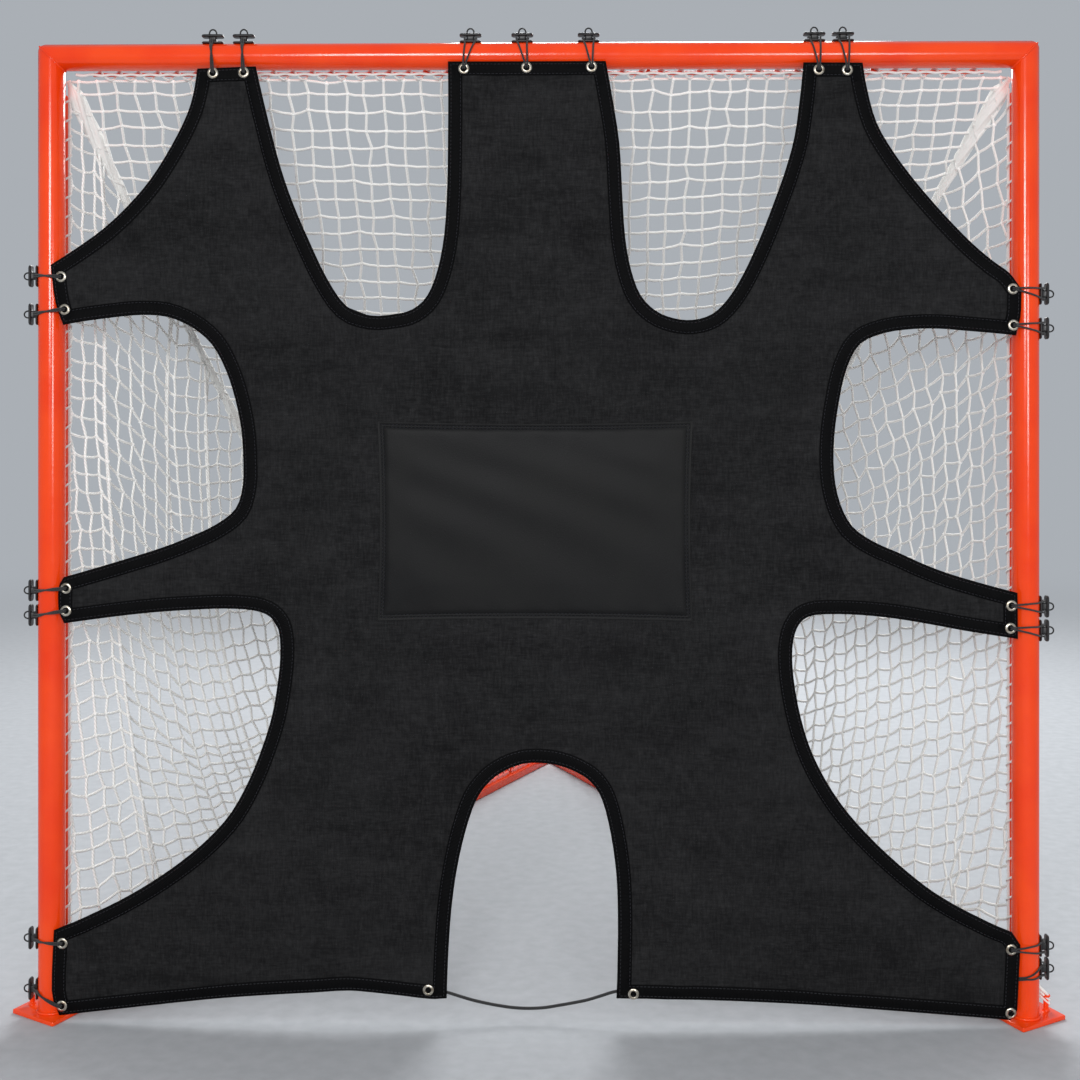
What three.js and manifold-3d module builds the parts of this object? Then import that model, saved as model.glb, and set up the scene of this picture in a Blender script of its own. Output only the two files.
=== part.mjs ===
// A field goal of welded tube with a knotted net behind it, and a cloth shooting target tied across its mouth.
// Millimetres. +Z up, +X to the right seen from in front, +Y from the mouth back to the point of the base.

import * as THREE from "three";
import { mergeVertices } from "three/addons/utils/BufferGeometryUtils.js";
import Module from "manifold-3d";

const wasm = await Module();
wasm.setup();

// Driving dimensions.
const mouth = { width: 1828.8, height: 1828.8 };
const base_depth = 2133.6; // from the posts' axes to the point where the ground bars meet
const gap = 0.3; // between pieces that touch
const tube = { diameter: 50.8, wall: 3.2, sides: 32, nip: 12 };
const foot = { front: 46, back: 100, inner: 46, outer: 72, skew: 16, thickness: 8 };
const stud = { shank: 10, head: 16, height: 30, lip: 4, ahead: 6, out: 56, sides: 10 };
const ground_bar = { width: 50, height: 25, wall: 3, nip: 25 };
const rod = { diameter: 8, standoff: 8, sides: 8, low: 62, high: 1790, inset: 45, feet: 4, foot_diameter: 6.5 };
const net = { pitch: 170, strand: 7, thickness: 6, slack: 1, seam_slack: 0.86, foot: 60 };
const least_hole = 700; // smaller pieces of a net's gap are left closed, in square millimetres
const least_cell = 60; // and smaller pieces of a cell are left out
const rope = { diameter: 10, sides: 6, steps: 24 };
const sheet_thickness = 1.5;
const binding = { width: 26, thickness: 1.5 };
const panel = { left: -303, right: 299, bottom: 768, top: 1149, waist: 5, thickness: 1 };
const grommet = { outer: 21, hole: 11, proud: 1, sides: 8 };
const elastic = { diameter: 5, sides: 8 }; // a doubled cord, made as one
const arch_elastic = { diameter: 6, sides: 8, steps: 30 };
const toggle = { length: 40, depth: 18, inner_lip: 3.5, neck: 9, outer_lip: 4.5, waist: 14 };

// The target's pattern is drawn for this mouth and stretches with it.
const pattern = { width: 1828.8, height: 1828.8 };

// Ties, each on a tab of the target. A tab's place along its tube (X on the crossbar, Z on a post) moves
// with the pattern; the grommet and the toggle keep their own distances from it, and reach is the
// grommet's distance from the tube's axis.
const ties = [
  { side: "top", tab: -589, grommet: -30, toggle: -37, reach: 38 },
  { side: "top", tab: -589, grommet: 29, toggle: 23, reach: 37 },
  { side: "top", tab: -16, grommet: -122, toggle: -111, reach: 31 },
  { side: "top", tab: -16, grommet: -2, toggle: -11, reach: 29 },
  { side: "top", tab: -16, grommet: 122, toggle: 117, reach: 28 },
  { side: "top", tab: 566, grommet: -27, toggle: -31, reach: 35 },
  { side: "top", tab: 566, grommet: 27, toggle: 24, reach: 36 },
  { side: "left", tab: 1395, grommet: 32, toggle: 36, reach: 28 },
  { side: "left", tab: 1395, grommet: -31, toggle: -38, reach: 35 },
  { side: "left", tab: 807, grommet: 22, toggle: 15, reach: 38 },
  { side: "left", tab: 807, grommet: -21, toggle: -33, reach: 38 },
  { side: "left", tab: 148, grommet: 0, toggle: 0, reach: 31 },
  { side: "left", tab: 28, grommet: 0, toggle: 22, reach: 30 },
  { side: "right", tab: 1366, grommet: 35, toggle: 28, reach: 33 },
  { side: "right", tab: 1366, grommet: -34, toggle: -38, reach: 32 },
  { side: "right", tab: 777, grommet: 22, toggle: 17, reach: 36 },
  { side: "right", tab: 777, grommet: -21, toggle: -29, reach: 38 },
  { side: "right", tab: 145, grommet: 0, toggle: -2, reach: 36 },
  { side: "right", tab: 24, grommet: 0, toggle: -46, reach: 37, toggle_tab: 145, from_behind: true },
];
const arch_grommets = [
  [-206, 62],
  [186, 57],
];
// The elastic across the foot of the arch: X and Z of its run, chosen by hand from end to end.
const arch_route = [
  [-206, 62],
  [-197, 61.6],
  [-188, 60],
  [-169, 55],
  [-146, 48],
  [-122, 41],
  [-98, 35.5],
  [-74, 31],
  [-45, 27],
  [-15, 25.5],
  [15, 27],
  [40, 31],
  [68, 36],
  [97, 42],
  [122, 49.5],
  [145, 57],
  [165, 61],
  [176, 60],
  [186, 57],
];

const finish = (color, roughness) => new THREE.MeshStandardMaterial({ color, roughness, metalness: 0 });
const paint = finish(0xf04a24, 0.3);
const net_cord = finish(0xf3f3f0, 0.8);
const target_cloth = finish(0x252525, 0.9);
const webbing = finish(0x101010, 0.85);
const coated_cloth = finish(0x202021, 0.6);
const elastic_cover = finish(0x131313, 0.7);
const toggle_plastic = finish(0x1a1a1a, 0.4);

// What follows from them.
const radius = tube.diameter / 2;
const post_x = mouth.width / 2 + radius;
const bar_z = mouth.height + radius;
const bar_run = Math.hypot(post_x, base_depth);
const heading = new THREE.Vector2(post_x / bar_run, base_depth / bar_run); // of the left ground bar, in plan
const rod_reach = radius + rod.standoff + rod.diameter / 2; // from a tube's axis to its rod's
const sheet_back = -(radius + gap);
const sheet_front = sheet_back - sheet_thickness;
const X_AXIS = new THREE.Vector3(1, 0, 0);
const Y_AXIS = new THREE.Vector3(0, 1, 0);
const Z_AXIS = new THREE.Vector3(0, 0, 1);

const goal = new THREE.Group();

function add(name, geometry, material) {
  const piece = new THREE.Mesh(geometry, material);
  piece.name = name;
  goal.add(piece);
  return piece;
}

// A closed geometry as a solid that can be joined and cut, and back again.
function solid(geometry) {
  const bare = geometry.index ? geometry.toNonIndexed() : geometry.clone();
  bare.deleteAttribute("normal");
  bare.deleteAttribute("uv");
  const merged = mergeVertices(bare, 1e-4);
  const vertProperties = merged.attributes.position.array;
  const triVerts = new Uint32Array(merged.index.array);
  return new wasm.Manifold(new wasm.Mesh({ numProp: 3, vertProperties, triVerts }));
}

function geometry_of(made) {
  const { vertProperties, triVerts } = made.getMesh();
  const geometry = new THREE.BufferGeometry();
  geometry.setAttribute("position", new THREE.BufferAttribute(new Float32Array(vertProperties), 3));
  geometry.setIndex(new THREE.BufferAttribute(new Uint32Array(triVerts), 1));
  return geometry;
}

function ring(size, sides, x = 0, y = 0) {
  return Array.from({ length: sides }, (_, i) => {
    const turn = (2 * Math.PI * i) / sides;
    return new THREE.Vector2(x + size * Math.cos(turn), y + size * Math.sin(turn));
  });
}

function prism(outline, depth, holes = []) {
  const shape = new THREE.Shape(outline);
  shape.holes = holes.map((hole) => new THREE.Path(hole));
  return new THREE.ExtrudeGeometry(shape, { depth, bevelEnabled: false });
}

// A sheet drawn in X and Z, from its back face at y = back towards the front.
function upright(outline, thickness, back, holes = []) {
  return prism(outline, thickness, holes)
    .rotateX(Math.PI / 2)
    .translate(0, back, 0);
}

// A route whose steps fall on its own points, so that tight turns keep their shape.
class Route extends THREE.CatmullRomCurve3 {
  getPointAt(share, target) {
    return this.getPoint(share, target);
  }
  getTangentAt(share, target) {
    return this.getTangent(share, target);
  }
}

function cord_along(points, diameter, sides, steps = points.length - 1) {
  const extrudePath = new Route(points, false, "centripetal");
  return new THREE.ExtrudeGeometry(new THREE.Shape(ring(diameter / 2, sides)), {
    steps,
    bevelEnabled: false,
    extrudePath,
  });
}

// A tube along +Z whose mitred ends are longest on the +X side, where the tip is nipped and walled off.
function mitred_tube(length, both_ends) {
  const block = 12 * tube.diameter;
  const tip = radius * Math.SQRT2 - tube.nip;
  const beyond = (end, up, lean, reach) =>
    solid(
      new THREE.BoxGeometry(block, block, block)
        .translate(0, 0, (block / 2 + reach) * up)
        .rotateY((lean * up * Math.PI) / 4)
        .translate(0, 0, end),
    );
  const low = both_ends ? -tube.diameter : 0;
  const high = length + tube.diameter;
  let outer = solid(prism(ring(radius, tube.sides), high - low).translate(0, 0, low));
  const bore_outline = ring(radius - tube.wall, tube.sides);
  let bore = solid(prism(bore_outline, high - low + 2 * tube.diameter).translate(0, 0, low - tube.diameter));
  const ends = both_ends ? [[length, 1], [0, -1]] : [[length, 1]];
  for (const [end, up] of ends) {
    outer = outer.subtract(beyond(end, up, -1, -gap / 2)).subtract(beyond(end, up, 1, tip));
    bore = bore.subtract(beyond(end, up, 1, tip - tube.wall));
  }
  return geometry_of(outer.subtract(bore));
}

function make_frame() {
  const post_foot = foot.thickness + gap;
  for (const [name, turn, x] of [["left_post", Math.PI, -post_x], ["right_post", 0, post_x]]) {
    const post = add(name, mitred_tube(bar_z - post_foot, false), paint);
    post.rotation.z = turn;
    post.position.set(x, 0, post_foot);
  }
  const crossbar = add("crossbar", mitred_tube(2 * post_x, true), paint);
  const lie = new THREE.Matrix4().makeBasis(Z_AXIS, Y_AXIS.clone().negate(), X_AXIS);
  crossbar.setRotationFromMatrix(lie);
  crossbar.position.set(-post_x, 0, bar_z);
}

// A point on the base, from u along the ground bar and v outboard of it, both from the post's axis.
function on_base(side, u, v) {
  const x = -post_x + u * heading.x - v * heading.y;
  return new THREE.Vector2(side === "left" ? x : -x, u * heading.y + v * heading.x);
}

const facing_up = (outline) => (THREE.ShapeUtils.isClockWise(outline) ? outline.reverse() : outline);

function make_base(side) {
  const corners = [
    [-foot.front, -foot.inner],
    [-foot.front + foot.skew, foot.outer],
    [foot.back, foot.outer],
    [foot.back, -foot.inner],
  ].map(([u, v]) => on_base(side, u, v));
  const at = on_base(side, stud.ahead, stud.out);
  const shank_top = foot.thickness + stud.height - stud.lip;
  const shank = prism(ring(stud.shank / 2, stud.sides, at.x, at.y), shank_top);
  const head = prism(ring(stud.head / 2, stud.sides, at.x, at.y), stud.lip).translate(0, 0, shank_top);
  const plate = solid(prism(facing_up(corners), foot.thickness));
  add(`${side}_foot_plate`, geometry_of(plate.add(solid(shank)).add(solid(head))), paint);

  add(`${side}_ground_bar`, make_ground_bar(side), paint);
}

// The outline of a ground bar in plan, or of its bore once it is narrowed and its far end drawn in by a wall.
function bar_outline(side, half, near, wall) {
  const rear = base_depth + ground_bar.nip - wall;
  const mitre = gap / 2 + wall;
  const reach_of = (v) => (post_x - mitre + v * heading.y) / heading.x; // where a line along it meets the mitre
  const inner_tip = on_base(side, reach_of(-half), -half);
  return facing_up([
    on_base(side, near, -half),
    on_base(side, near, half),
    on_base(side, (rear - half * heading.x) / heading.y, half),
    new THREE.Vector2(inner_tip.x, rear),
    inner_tip,
  ]);
}

function make_ground_bar(side) {
  const { width, height, wall } = ground_bar;
  const start = foot.back + gap;
  const body = prism(bar_outline(side, width / 2, start, 0), height);
  const bore = prism(bar_outline(side, width / 2 - wall, start - wall, wall), height - 2 * wall);
  return geometry_of(solid(body).subtract(solid(bore.translate(0, 0, wall))));
}

// A lacing rod between two points, with short feet that reach back to the tube or bar it is welded to.
function lacing_rod(name, from, to, towards, reach) {
  const along = to.clone().sub(from);
  const stick = (start, direction, length, diameter) => {
    const turned = new THREE.Quaternion().setFromUnitVectors(Z_AXIS, direction);
    return solid(
      prism(ring(diameter / 2, rod.sides), length)
        .applyQuaternion(turned)
        .translate(start.x, start.y, start.z),
    );
  };
  let made = stick(from, along.clone().normalize(), along.length(), rod.diameter);
  for (let i = 0; i < rod.feet; i++) {
    const share = (i + 0.5) / rod.feet;
    const start = from.clone().addScaledVector(along, share);
    made = made.add(stick(start, towards, reach, rod.foot_diameter));
  }
  add(name, geometry_of(made), paint);
}

function make_rods() {
  const foot_reach = rod.standoff + rod.diameter / 2 - gap;
  const slope = Math.SQRT1_2; // the crossbar's rod hangs below and behind it, at 45 degrees
  const behind = new THREE.Vector3(0, rod_reach * slope, bar_z - rod_reach * slope);
  const half = mouth.width / 2 - rod.inset;
  lacing_rod(
    "crossbar_lacing_rod",
    behind.clone().setX(-half),
    behind.clone().setX(half),
    new THREE.Vector3(0, -slope, slope),
    foot_reach,
  );
  for (const side of ["left", "right"]) {
    const at = on_base(side, rod_reach, 0);
    const inward = new THREE.Vector3(side === "left" ? -heading.x : heading.x, -heading.y, 0);
    lacing_rod(
      `${side}_post_lacing_rod`,
      new THREE.Vector3(at.x, at.y, rod.low),
      new THREE.Vector3(at.x, at.y, mouth.height - (pattern.height - rod.high)),
      inward,
      foot_reach,
    );
    const height = ground_bar.height + rod.standoff + rod.diameter / 2;
    const near = on_base(side, foot.back + rod.inset, 0);
    const far = on_base(side, bar_run - rod.inset, 0);
    lacing_rod(
      `${side}_bar_lacing_rod`,
      new THREE.Vector3(near.x, near.y, height),
      new THREE.Vector3(far.x, far.y, height),
      Z_AXIS.clone().negate(),
      foot_reach,
    );
  }
}

// The net hangs from the crossbar's rod in a sagging curve. Over share s from its head to the point of the
// base, its seams run along the ground bars' lines and drop by a straight fall and a parabola of sag.
const seam_near = rod_reach + rod.diameter / 2 + gap + 2;
const seam_far = bar_run - net.foot;
const seam_run = (seam_far - seam_near) * heading.y;
const rod_back = rod_reach * Math.SQRT1_2;
const fall = Math.atan(((1 + net.slack) * (bar_z - net.foot)) / seam_run); // the net's slope at its head
const clear_of_rod = (rod.diameter + net.thickness) / 2 + 2 * gap;
const head_z =
  bar_z - rod_back + (clear_of_rod - (seam_near * heading.y - rod_back) * Math.sin(fall)) / Math.cos(fall);
const fullest_sag = (head_z - net.foot) / 4; // the net then ends level at the point of the base
const sag = net.slack * fullest_sag;
const seam_sag = net.seam_slack * fullest_sag;

const seam_at = (s) => seam_near + (seam_far - seam_near) * s;
const half_width = (s) => post_x - seam_at(s) * heading.x;
const height_at = (s, sagging) => head_z - (head_z - net.foot) * s - 4 * sagging * s * (1 - s);

function keep_below(outline, over) {
  return outline.flatMap((point, i) => {
    const next = outline[(i + 1) % outline.length];
    const [here, there] = [over(point), over(next)];
    const kept = here <= 0 ? [point] : [];
    if (here <= 0 !== there <= 0) kept.push(point.clone().lerp(next, here / (here - there)));
    return kept;
  });
}

// Faces of a square mesh drawn flat, inside limits that are each above 0 outside it.
function mesh_faces(across, up, limits) {
  const columns = Math.round((across[1] - across[0]) / net.pitch);
  const rows = Math.round((up[1] - up[0]) / net.pitch);
  const [wide, tall] = [(across[1] - across[0]) / columns, (up[1] - up[0]) / rows];
  const cell = (i, j, by) => {
    const [x, y] = [across[0] + i * wide, up[0] + j * tall];
    return [
      new THREE.Vector2(x + by, y + by),
      new THREE.Vector2(x + wide - by, y + by),
      new THREE.Vector2(x + wide - by, y + tall - by),
      new THREE.Vector2(x + by, y + tall - by),
    ];
  };
  const area = (outline) => Math.abs(THREE.ShapeUtils.area(outline));
  const faces = [];
  for (let i = 0; i < columns; i++) {
    for (let j = 0; j < rows; j++) {
      const outline = limits.reduce(keep_below, cell(i, j, 0));
      const inner = limits.map((limit) => (p) => limit(p) + net.strand);
      const hole = inner.reduce(keep_below, cell(i, j, net.strand / 2));
      if (outline.length < 3 || area(outline) < least_cell) continue;
      const open = hole.length > 2 && area(hole) > least_hole;
      const corners = open ? [...outline, ...hole] : outline;
      for (const face of THREE.ShapeUtils.triangulateShape(outline, open ? [hole] : [])) {
        faces.push(facing_up(face.map((corner) => corners[corner])));
      }
    }
  }
  return faces;
}

// A closed shell from flat faces: each point is placed at both sides of the thickness, and every edge that
// only one face has gets a wall.
function thickened(faces, thickness, place) {
  const found = new Map();
  const flat = [];
  const number = (point) => {
    const key = `${point.x.toFixed(2)} ${point.y.toFixed(2)}`;
    if (!found.has(key)) found.set(key, flat.push(point) - 1);
    return found.get(key);
  };
  const triangles = faces.map((face) => face.map(number)).filter((corners) => new Set(corners).size === 3);
  const sides = ([a, b, c]) => [[a, b], [b, c], [c, a]];
  const edges = new Set(triangles.flatMap(sides).map(([from, to]) => `${from} ${to}`));
  const lower = flat.length;
  const index = [];
  for (const triangle of triangles) {
    const [a, b, c] = triangle;
    index.push(a, b, c, c + lower, b + lower, a + lower);
    for (const [from, to] of sides(triangle)) {
      if (edges.has(`${to} ${from}`)) continue;
      index.push(to, from, from + lower, to, from + lower, to + lower);
    }
  }
  const positions = [thickness / 2, -thickness / 2].flatMap((depth) =>
    flat.flatMap((point) => place(point.x, point.y, depth).toArray()),
  );
  const geometry = new THREE.BufferGeometry();
  geometry.setAttribute("position", new THREE.Float32BufferAttribute(positions, 3));
  geometry.setIndex(index);
  return geometry;
}

// Drawn flat, X across and Y down the net as a length, then hung.
function make_back_net() {
  const head = -9; // a little above the seams' start, so that the head lies along the rod
  const edge_gap = rope.diameter / 2 + gap + 2;
  const edge = (y) => half_width(y / seam_run) - edge_gap;
  const limits = [(p) => p.x - edge(p.y), (p) => -p.x - edge(p.y)];
  const reach = net.pitch * Math.ceil(edge(head) / net.pitch);
  const faces = mesh_faces([-reach, reach], [head, seam_run], limits);
  return thickened(faces, net.thickness, (x, y, depth) => {
    const s = y / seam_run;
    const belly = 1 - (x / half_width(s)) ** 2;
    return new THREE.Vector3(
      x,
      seam_at(s) * heading.y + depth * Math.sin(fall),
      height_at(s, seam_sag + (sag - seam_sag) * belly) + depth * Math.cos(fall),
    );
  });
}

// Drawn in the upright plane over the ground bar: X along the bar from the post's axis, Y up.
function make_side_net(side) {
  const near = rod_reach + rod.diameter / 2 + gap;
  const far = seam_far - net.pitch / 2;
  const low = ground_bar.height + rod.standoff + rod.diameter + gap;
  const under_seam = (rope.diameter / 2 + gap) / Math.cos(fall) + 3;
  const top = (d) => height_at((d - seam_near) / (seam_far - seam_near), seam_sag) - under_seam;
  const wide = (far - near) / Math.round((far - near) / net.pitch);
  const above_chord = (p) => {
    const from = near + wide * Math.floor((p.x - near) / wide + 1e-6);
    return p.y - THREE.MathUtils.lerp(top(from), top(from + wide), (p.x - from) / wide);
  };
  const faces = mesh_faces([near, far], [low, head_z], [above_chord]);
  const outboard = side === "left" ? -1 : 1;
  return thickened(faces, net.thickness, (x, y, depth) => {
    const at = on_base(side, x, depth * outboard);
    return new THREE.Vector3(at.x, at.y, y);
  });
}

function make_net() {
  add("back_net", make_back_net(), net_cord);
  for (const side of ["left", "right"]) {
    add(`${side}_side_net`, make_side_net(side), net_cord);
    const seam = Array.from({ length: rope.steps + 1 }, (_, i) => {
      const s = i / rope.steps;
      const at = on_base(side, seam_at(s), 0);
      return new THREE.Vector3(at.x, at.y, height_at(s, seam_sag));
    });
    add(`${side}_ridge_rope`, cord_along(seam, rope.diameter, rope.sides), net_cord);
  }
}

// The target's edge, anticlockwise from the left end of its top left tab: X from the middle, Z from the
// ground. A cut-out or a long side is a curve through its points, and the end of a tab is straight lines.
const edge_stretches = [
  ["curve", "upper left corner", [-667, 1740], [-738, 1614], [-830, 1518], [-931, 1449]],
  ["lines", "upper left tab", [-921, 1376], [-907, 1336]],
  ["curve", "middle left window", [-813, 1350], [-707, 1351], [-621, 1298], [-575, 1191], [-560, 1078]],
  ["curve", "its lower side", [-575, 981], [-663, 927], [-770, 889], [-906, 849]],
  ["lines", "middle left tab", [-915, 830], [-915, 784], [-905, 763]],
  ["curve", "low left window", [-784, 779], [-663, 789], [-541, 788], [-492, 749], [-495, 638]],
  ["curve", "its lower side", [-522, 528], [-583, 399], [-680, 304], [-802, 227], [-924, 172]],
  ["lines", "low left tab", [-928, 57], [-914, 11]],
  ["curve", "bottom edge, left", [-762, 28], [-602, 45], [-419, 57], [-341, 60], [-206, 46], [-172, 47]],
  ["curve", "arch, rising", [-167, 167], [-152, 296], [-115, 427], [-58, 484], [8, 498]],
  ["curve", "arch, falling", [80, 479], [128, 426], [155, 282], [157, 120], [155, 49]],
  ["curve", "bottom edge, right", [307, 47], [520, 39], [793, 20], [902, 12]],
  ["lines", "low right tab", [914, 30], [918, 110], [920, 153], [904, 177]],
  ["curve", "low right window", [805, 223], [708, 289], [592, 404], [519, 532], [488, 680]],
  ["curve", "its upper side", [502, 765], [562, 783], [684, 775], [817, 752], [915, 737]],
  ["lines", "middle right tab", [914, 822]],
  ["curve", "middle right window", [789, 857], [692, 897], [602, 948], [567, 1050], [577, 1191]],
  ["curve", "its upper side", [617, 1298], [719, 1326], [816, 1323], [912, 1314]],
  ["lines", "upper right tab", [920, 1348], [922, 1400], [900, 1430]],
  ["curve", "upper right corner", [829, 1487], [724, 1602], [648, 1717], [621, 1831]],
  ["lines", "top right tab", [511, 1832]],
  ["curve", "top right window", [494, 1691], [455, 1566], [396, 1428], [337, 1353], [262, 1345]],
  ["curve", "its left side", [199, 1389], [169, 1501], [158, 1680], [132, 1836]],
  ["lines", "top middle tab", [-167, 1836]],
  ["curve", "top left window", [-167, 1693], [-174, 1508], [-207, 1389], [-272, 1353], [-364, 1369]],
  ["curve", "its left side", [-436, 1495], [-492, 1640], [-538, 1828]],
  ["lines", "top left tab", [-648, 1824]],
];
const curve_steps = 2; // between one point of a curve and the next

const on_target = ([x, z]) =>
  new THREE.Vector2((x * mouth.width) / pattern.width, (z * mouth.height) / pattern.height);

function target_edge() {
  const last = edge_stretches[edge_stretches.length - 1];
  let from = on_target(last[last.length - 1]);
  let run = [];
  const outline = [];
  const close_run = () => {
    if (!run.length) return;
    const spline = new THREE.SplineCurve([from, ...run]);
    outline.push(...spline.getPoints(run.length * curve_steps).slice(1));
    from = run[run.length - 1];
    run = [];
  };
  for (const [kind, stretch, ...points] of edge_stretches) {
    const placed = points.map(on_target);
    if (kind === "curve" && !stretch.startsWith("its ") && !stretch.endsWith("falling")) close_run();
    if (kind === "curve") {
      run.push(...placed);
      continue;
    }
    close_run();
    outline.push(...placed);
    from = placed[placed.length - 1];
  }
  close_run();
  return facing_up(outline);
}

// The outline moved inwards: each corner slides along its bisector, and those that come nearer to any
// side than the width are left out.
function inset(outline, width) {
  const count = outline.length;
  const to_side = (point, a, b) => {
    const side = b.clone().sub(a);
    const share = THREE.MathUtils.clamp(point.clone().sub(a).dot(side) / side.lengthSq(), 0, 1);
    return point.distanceTo(a.clone().addScaledVector(side, share));
  };
  return outline
    .map((corner, i) => {
      const into = corner.clone().sub(outline[(i + count - 1) % count]).normalize();
      const out_of = outline[(i + 1) % count].clone().sub(corner).normalize();
      const inward = new THREE.Vector2(-into.y - out_of.y, into.x + out_of.x).normalize();
      const slant = Math.max(inward.x * -into.y + inward.y * into.x, 0.3);
      return corner.clone().addScaledVector(inward, width / slant);
    })
    .filter((moved) => outline.every((a, i) => to_side(moved, a, outline[(i + 1) % count]) > width * 0.98));
}

// Tubes that the target is tied to: a point on the axis, the axis' direction and the way out from the mouth.
const wider = mouth.width / pattern.width;
const taller = mouth.height / pattern.height;
const carriers = {
  top: { origin: new THREE.Vector3(0, 0, bar_z), along: X_AXIS, out: Z_AXIS, scale: wider },
  left: { origin: new THREE.Vector3(-post_x, 0, 0), along: Z_AXIS, out: X_AXIS.clone().negate(), scale: taller },
  right: { origin: new THREE.Vector3(post_x, 0, 0), along: Z_AXIS, out: X_AXIS, scale: taller },
};

function beside(side, out, along, back) {
  const carrier = carriers[side];
  return carrier.origin
    .clone()
    .addScaledVector(carrier.out, out)
    .addScaledVector(carrier.along, along)
    .add(new THREE.Vector3(0, back, 0));
}

function make_target() {
  const edge = target_edge();
  const centres = ties.map(({ side, tab, grommet: off, reach }) => {
    const at = beside(side, -reach, tab * carriers[side].scale + off, 0);
    return new THREE.Vector2(at.x, at.z);
  });
  for (const [x, z] of arch_grommets) {
    centres.push(on_target([x, z]));
  }
  const holes = centres.map(({ x, y }) => {
    const rim = ring(grommet.hole / 2, grommet.sides, x, y);
    return solid(upright(rim, tube.diameter, sheet_back + radius));
  });
  const punched = (cloth) => geometry_of(holes.reduce((left, hole) => left.subtract(hole), cloth));
  add("target_sheet", punched(solid(upright(edge, sheet_thickness, sheet_back))), target_cloth);

  const back = sheet_front - gap;
  let bound = solid(upright(edge, binding.thickness, back, [inset(edge, binding.width)]));
  for (const { x, y } of centres) {
    const rim = ring(grommet.outer / 2, grommet.sides, x, y);
    bound = bound.add(solid(upright(rim, binding.thickness + grommet.proud, back)));
  }
  add("edge_binding", punched(bound), webbing);

  const middle = { x: (panel.left + panel.right) / 2, z: (panel.bottom + panel.top) / 2 };
  const outline = new THREE.Path();
  outline.moveTo(panel.left, panel.bottom);
  outline.quadraticCurveTo(middle.x, panel.bottom + 2 * panel.waist, panel.right, panel.bottom);
  outline.quadraticCurveTo(panel.right - 2 * panel.waist, middle.z, panel.right, panel.top);
  outline.quadraticCurveTo(middle.x, panel.top - 2 * panel.waist, panel.left, panel.top);
  outline.quadraticCurveTo(panel.left + 2 * panel.waist, middle.z, panel.left, panel.bottom);
  const corners = outline.getPoints(4).slice(0, -1);
  const lifted = (mouth.height - pattern.height) / 2;
  const sewn = upright(corners, panel.thickness, back).translate(0, 0, lifted);
  add("centre_panel", sewn, coated_cloth);
}

function toggle_place({ side, tab, toggle_tab = tab, toggle: off }) {
  return toggle_tab * carriers[side].scale + off;
}

// A tie runs from the toggle's neck over the front of its tube, through the grommet from in front, and
// round the back of the tube to the toggle again. In steps of out, back and along from the toggle.
function tie_points(tie) {
  const { side, tab, reach, from_behind } = tie;
  const at = toggle_place(tie);
  const half = elastic.diameter / 2;
  const neck = radius + gap + toggle.inner_lip + toggle.neck / 2;
  const beside_neck = toggle.depth / 2 + half + gap;
  const hug = radius + half + 4 * gap;
  const drop = tab * carriers[side].scale + tie.grommet - at;
  const proud = sheet_front - gap - binding.thickness - grommet.proud - half - 2 * gap;
  const wrapped = (degrees, share) => {
    const turn = THREE.MathUtils.degToRad(degrees);
    return [-hug * Math.sin(turn), -hug * Math.cos(turn), drop * share];
  };
  const route = from_behind
    ? [
        [neck, -beside_neck, 0],
        wrapped(-37, 0.05),
        wrapped(-10, 0.1),
        wrapped(20, 0.14),
        wrapped(50, 0.2),
        wrapped(75, 0.35),
        [-hug - 2, -10, drop * 0.7],
        [-reach, sheet_back + half + gap + 2, drop * 0.97],
        [-reach, sheet_back - half, drop],
      ]
    : [
        [neck, -beside_neck, 0],
        wrapped(-37, 0.2),
        wrapped(-8, 0.45),
        [-reach / 3, proud, drop * 0.7],
        [-reach + 8, proud - 0.6, drop * 0.9],
        [-reach + 2.4, proud + 0.6, drop],
        [-reach, sheet_front, drop],
        [-reach, sheet_back + half, drop],
        ...[90, 117, 144, 171, 198, 225].map((degrees, i) => wrapped(degrees, 1 - i / 6)),
        [neck, beside_neck, 0],
      ];
  return route.map(([out, back, shift]) => beside(side, out, at + shift, back));
}

// An H of two lips and a neck, drawn out from the tube in X and along it in Y.
function toggle_geometry() {
  const long = toggle.length / 2;
  const lip = toggle.inner_lip;
  const shelf = lip + toggle.neck;
  const top = shelf + toggle.outer_lip;
  const waist = toggle.waist / 2;
  const outline = [
    [0, -long + 2],
    [lip, -long],
    [lip, -waist],
    [shelf, -waist],
    [shelf, -long],
    [top, -long + 3],
    [top, long - 3],
    [shelf, long],
    [shelf, waist],
    [lip, waist],
    [lip, long],
    [0, long - 2],
  ].map(([out, along]) => new THREE.Vector2(out, along));
  return prism(facing_up(outline), toggle.depth).translate(0, 0, -toggle.depth / 2);
}

function make_ties() {
  const counts = { top: 0, left: 0, right: 0 };
  for (const tie of ties) {
    counts[tie.side] += 1;
    const label = `${tie.side}_${counts[tie.side]}`;
    const { out, along } = carriers[tie.side];
    const body = add(`toggle_${label}`, toggle_geometry(), toggle_plastic);
    body.setRotationFromMatrix(new THREE.Matrix4().makeBasis(out, along, out.clone().cross(along)));
    body.position.copy(beside(tie.side, radius + gap, toggle_place(tie), 0));
    add(`tie_${label}`, cord_along(tie_points(tie), elastic.diameter, elastic.sides), elastic_cover);
  }
}

function make_arch_cord() {
  const behind = sheet_back + arch_elastic.diameter / 2 + gap;
  const points = arch_route.map(on_target).map(({ x, y }) => new THREE.Vector3(x, behind, y));
  const { diameter, sides, steps } = arch_elastic;
  add("arch_cord", cord_along(points, diameter, sides, steps), elastic_cover);
}

make_frame();
make_base("left");
make_base("right");
make_rods();
make_net();
make_target();
make_ties();
make_arch_cord();

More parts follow.
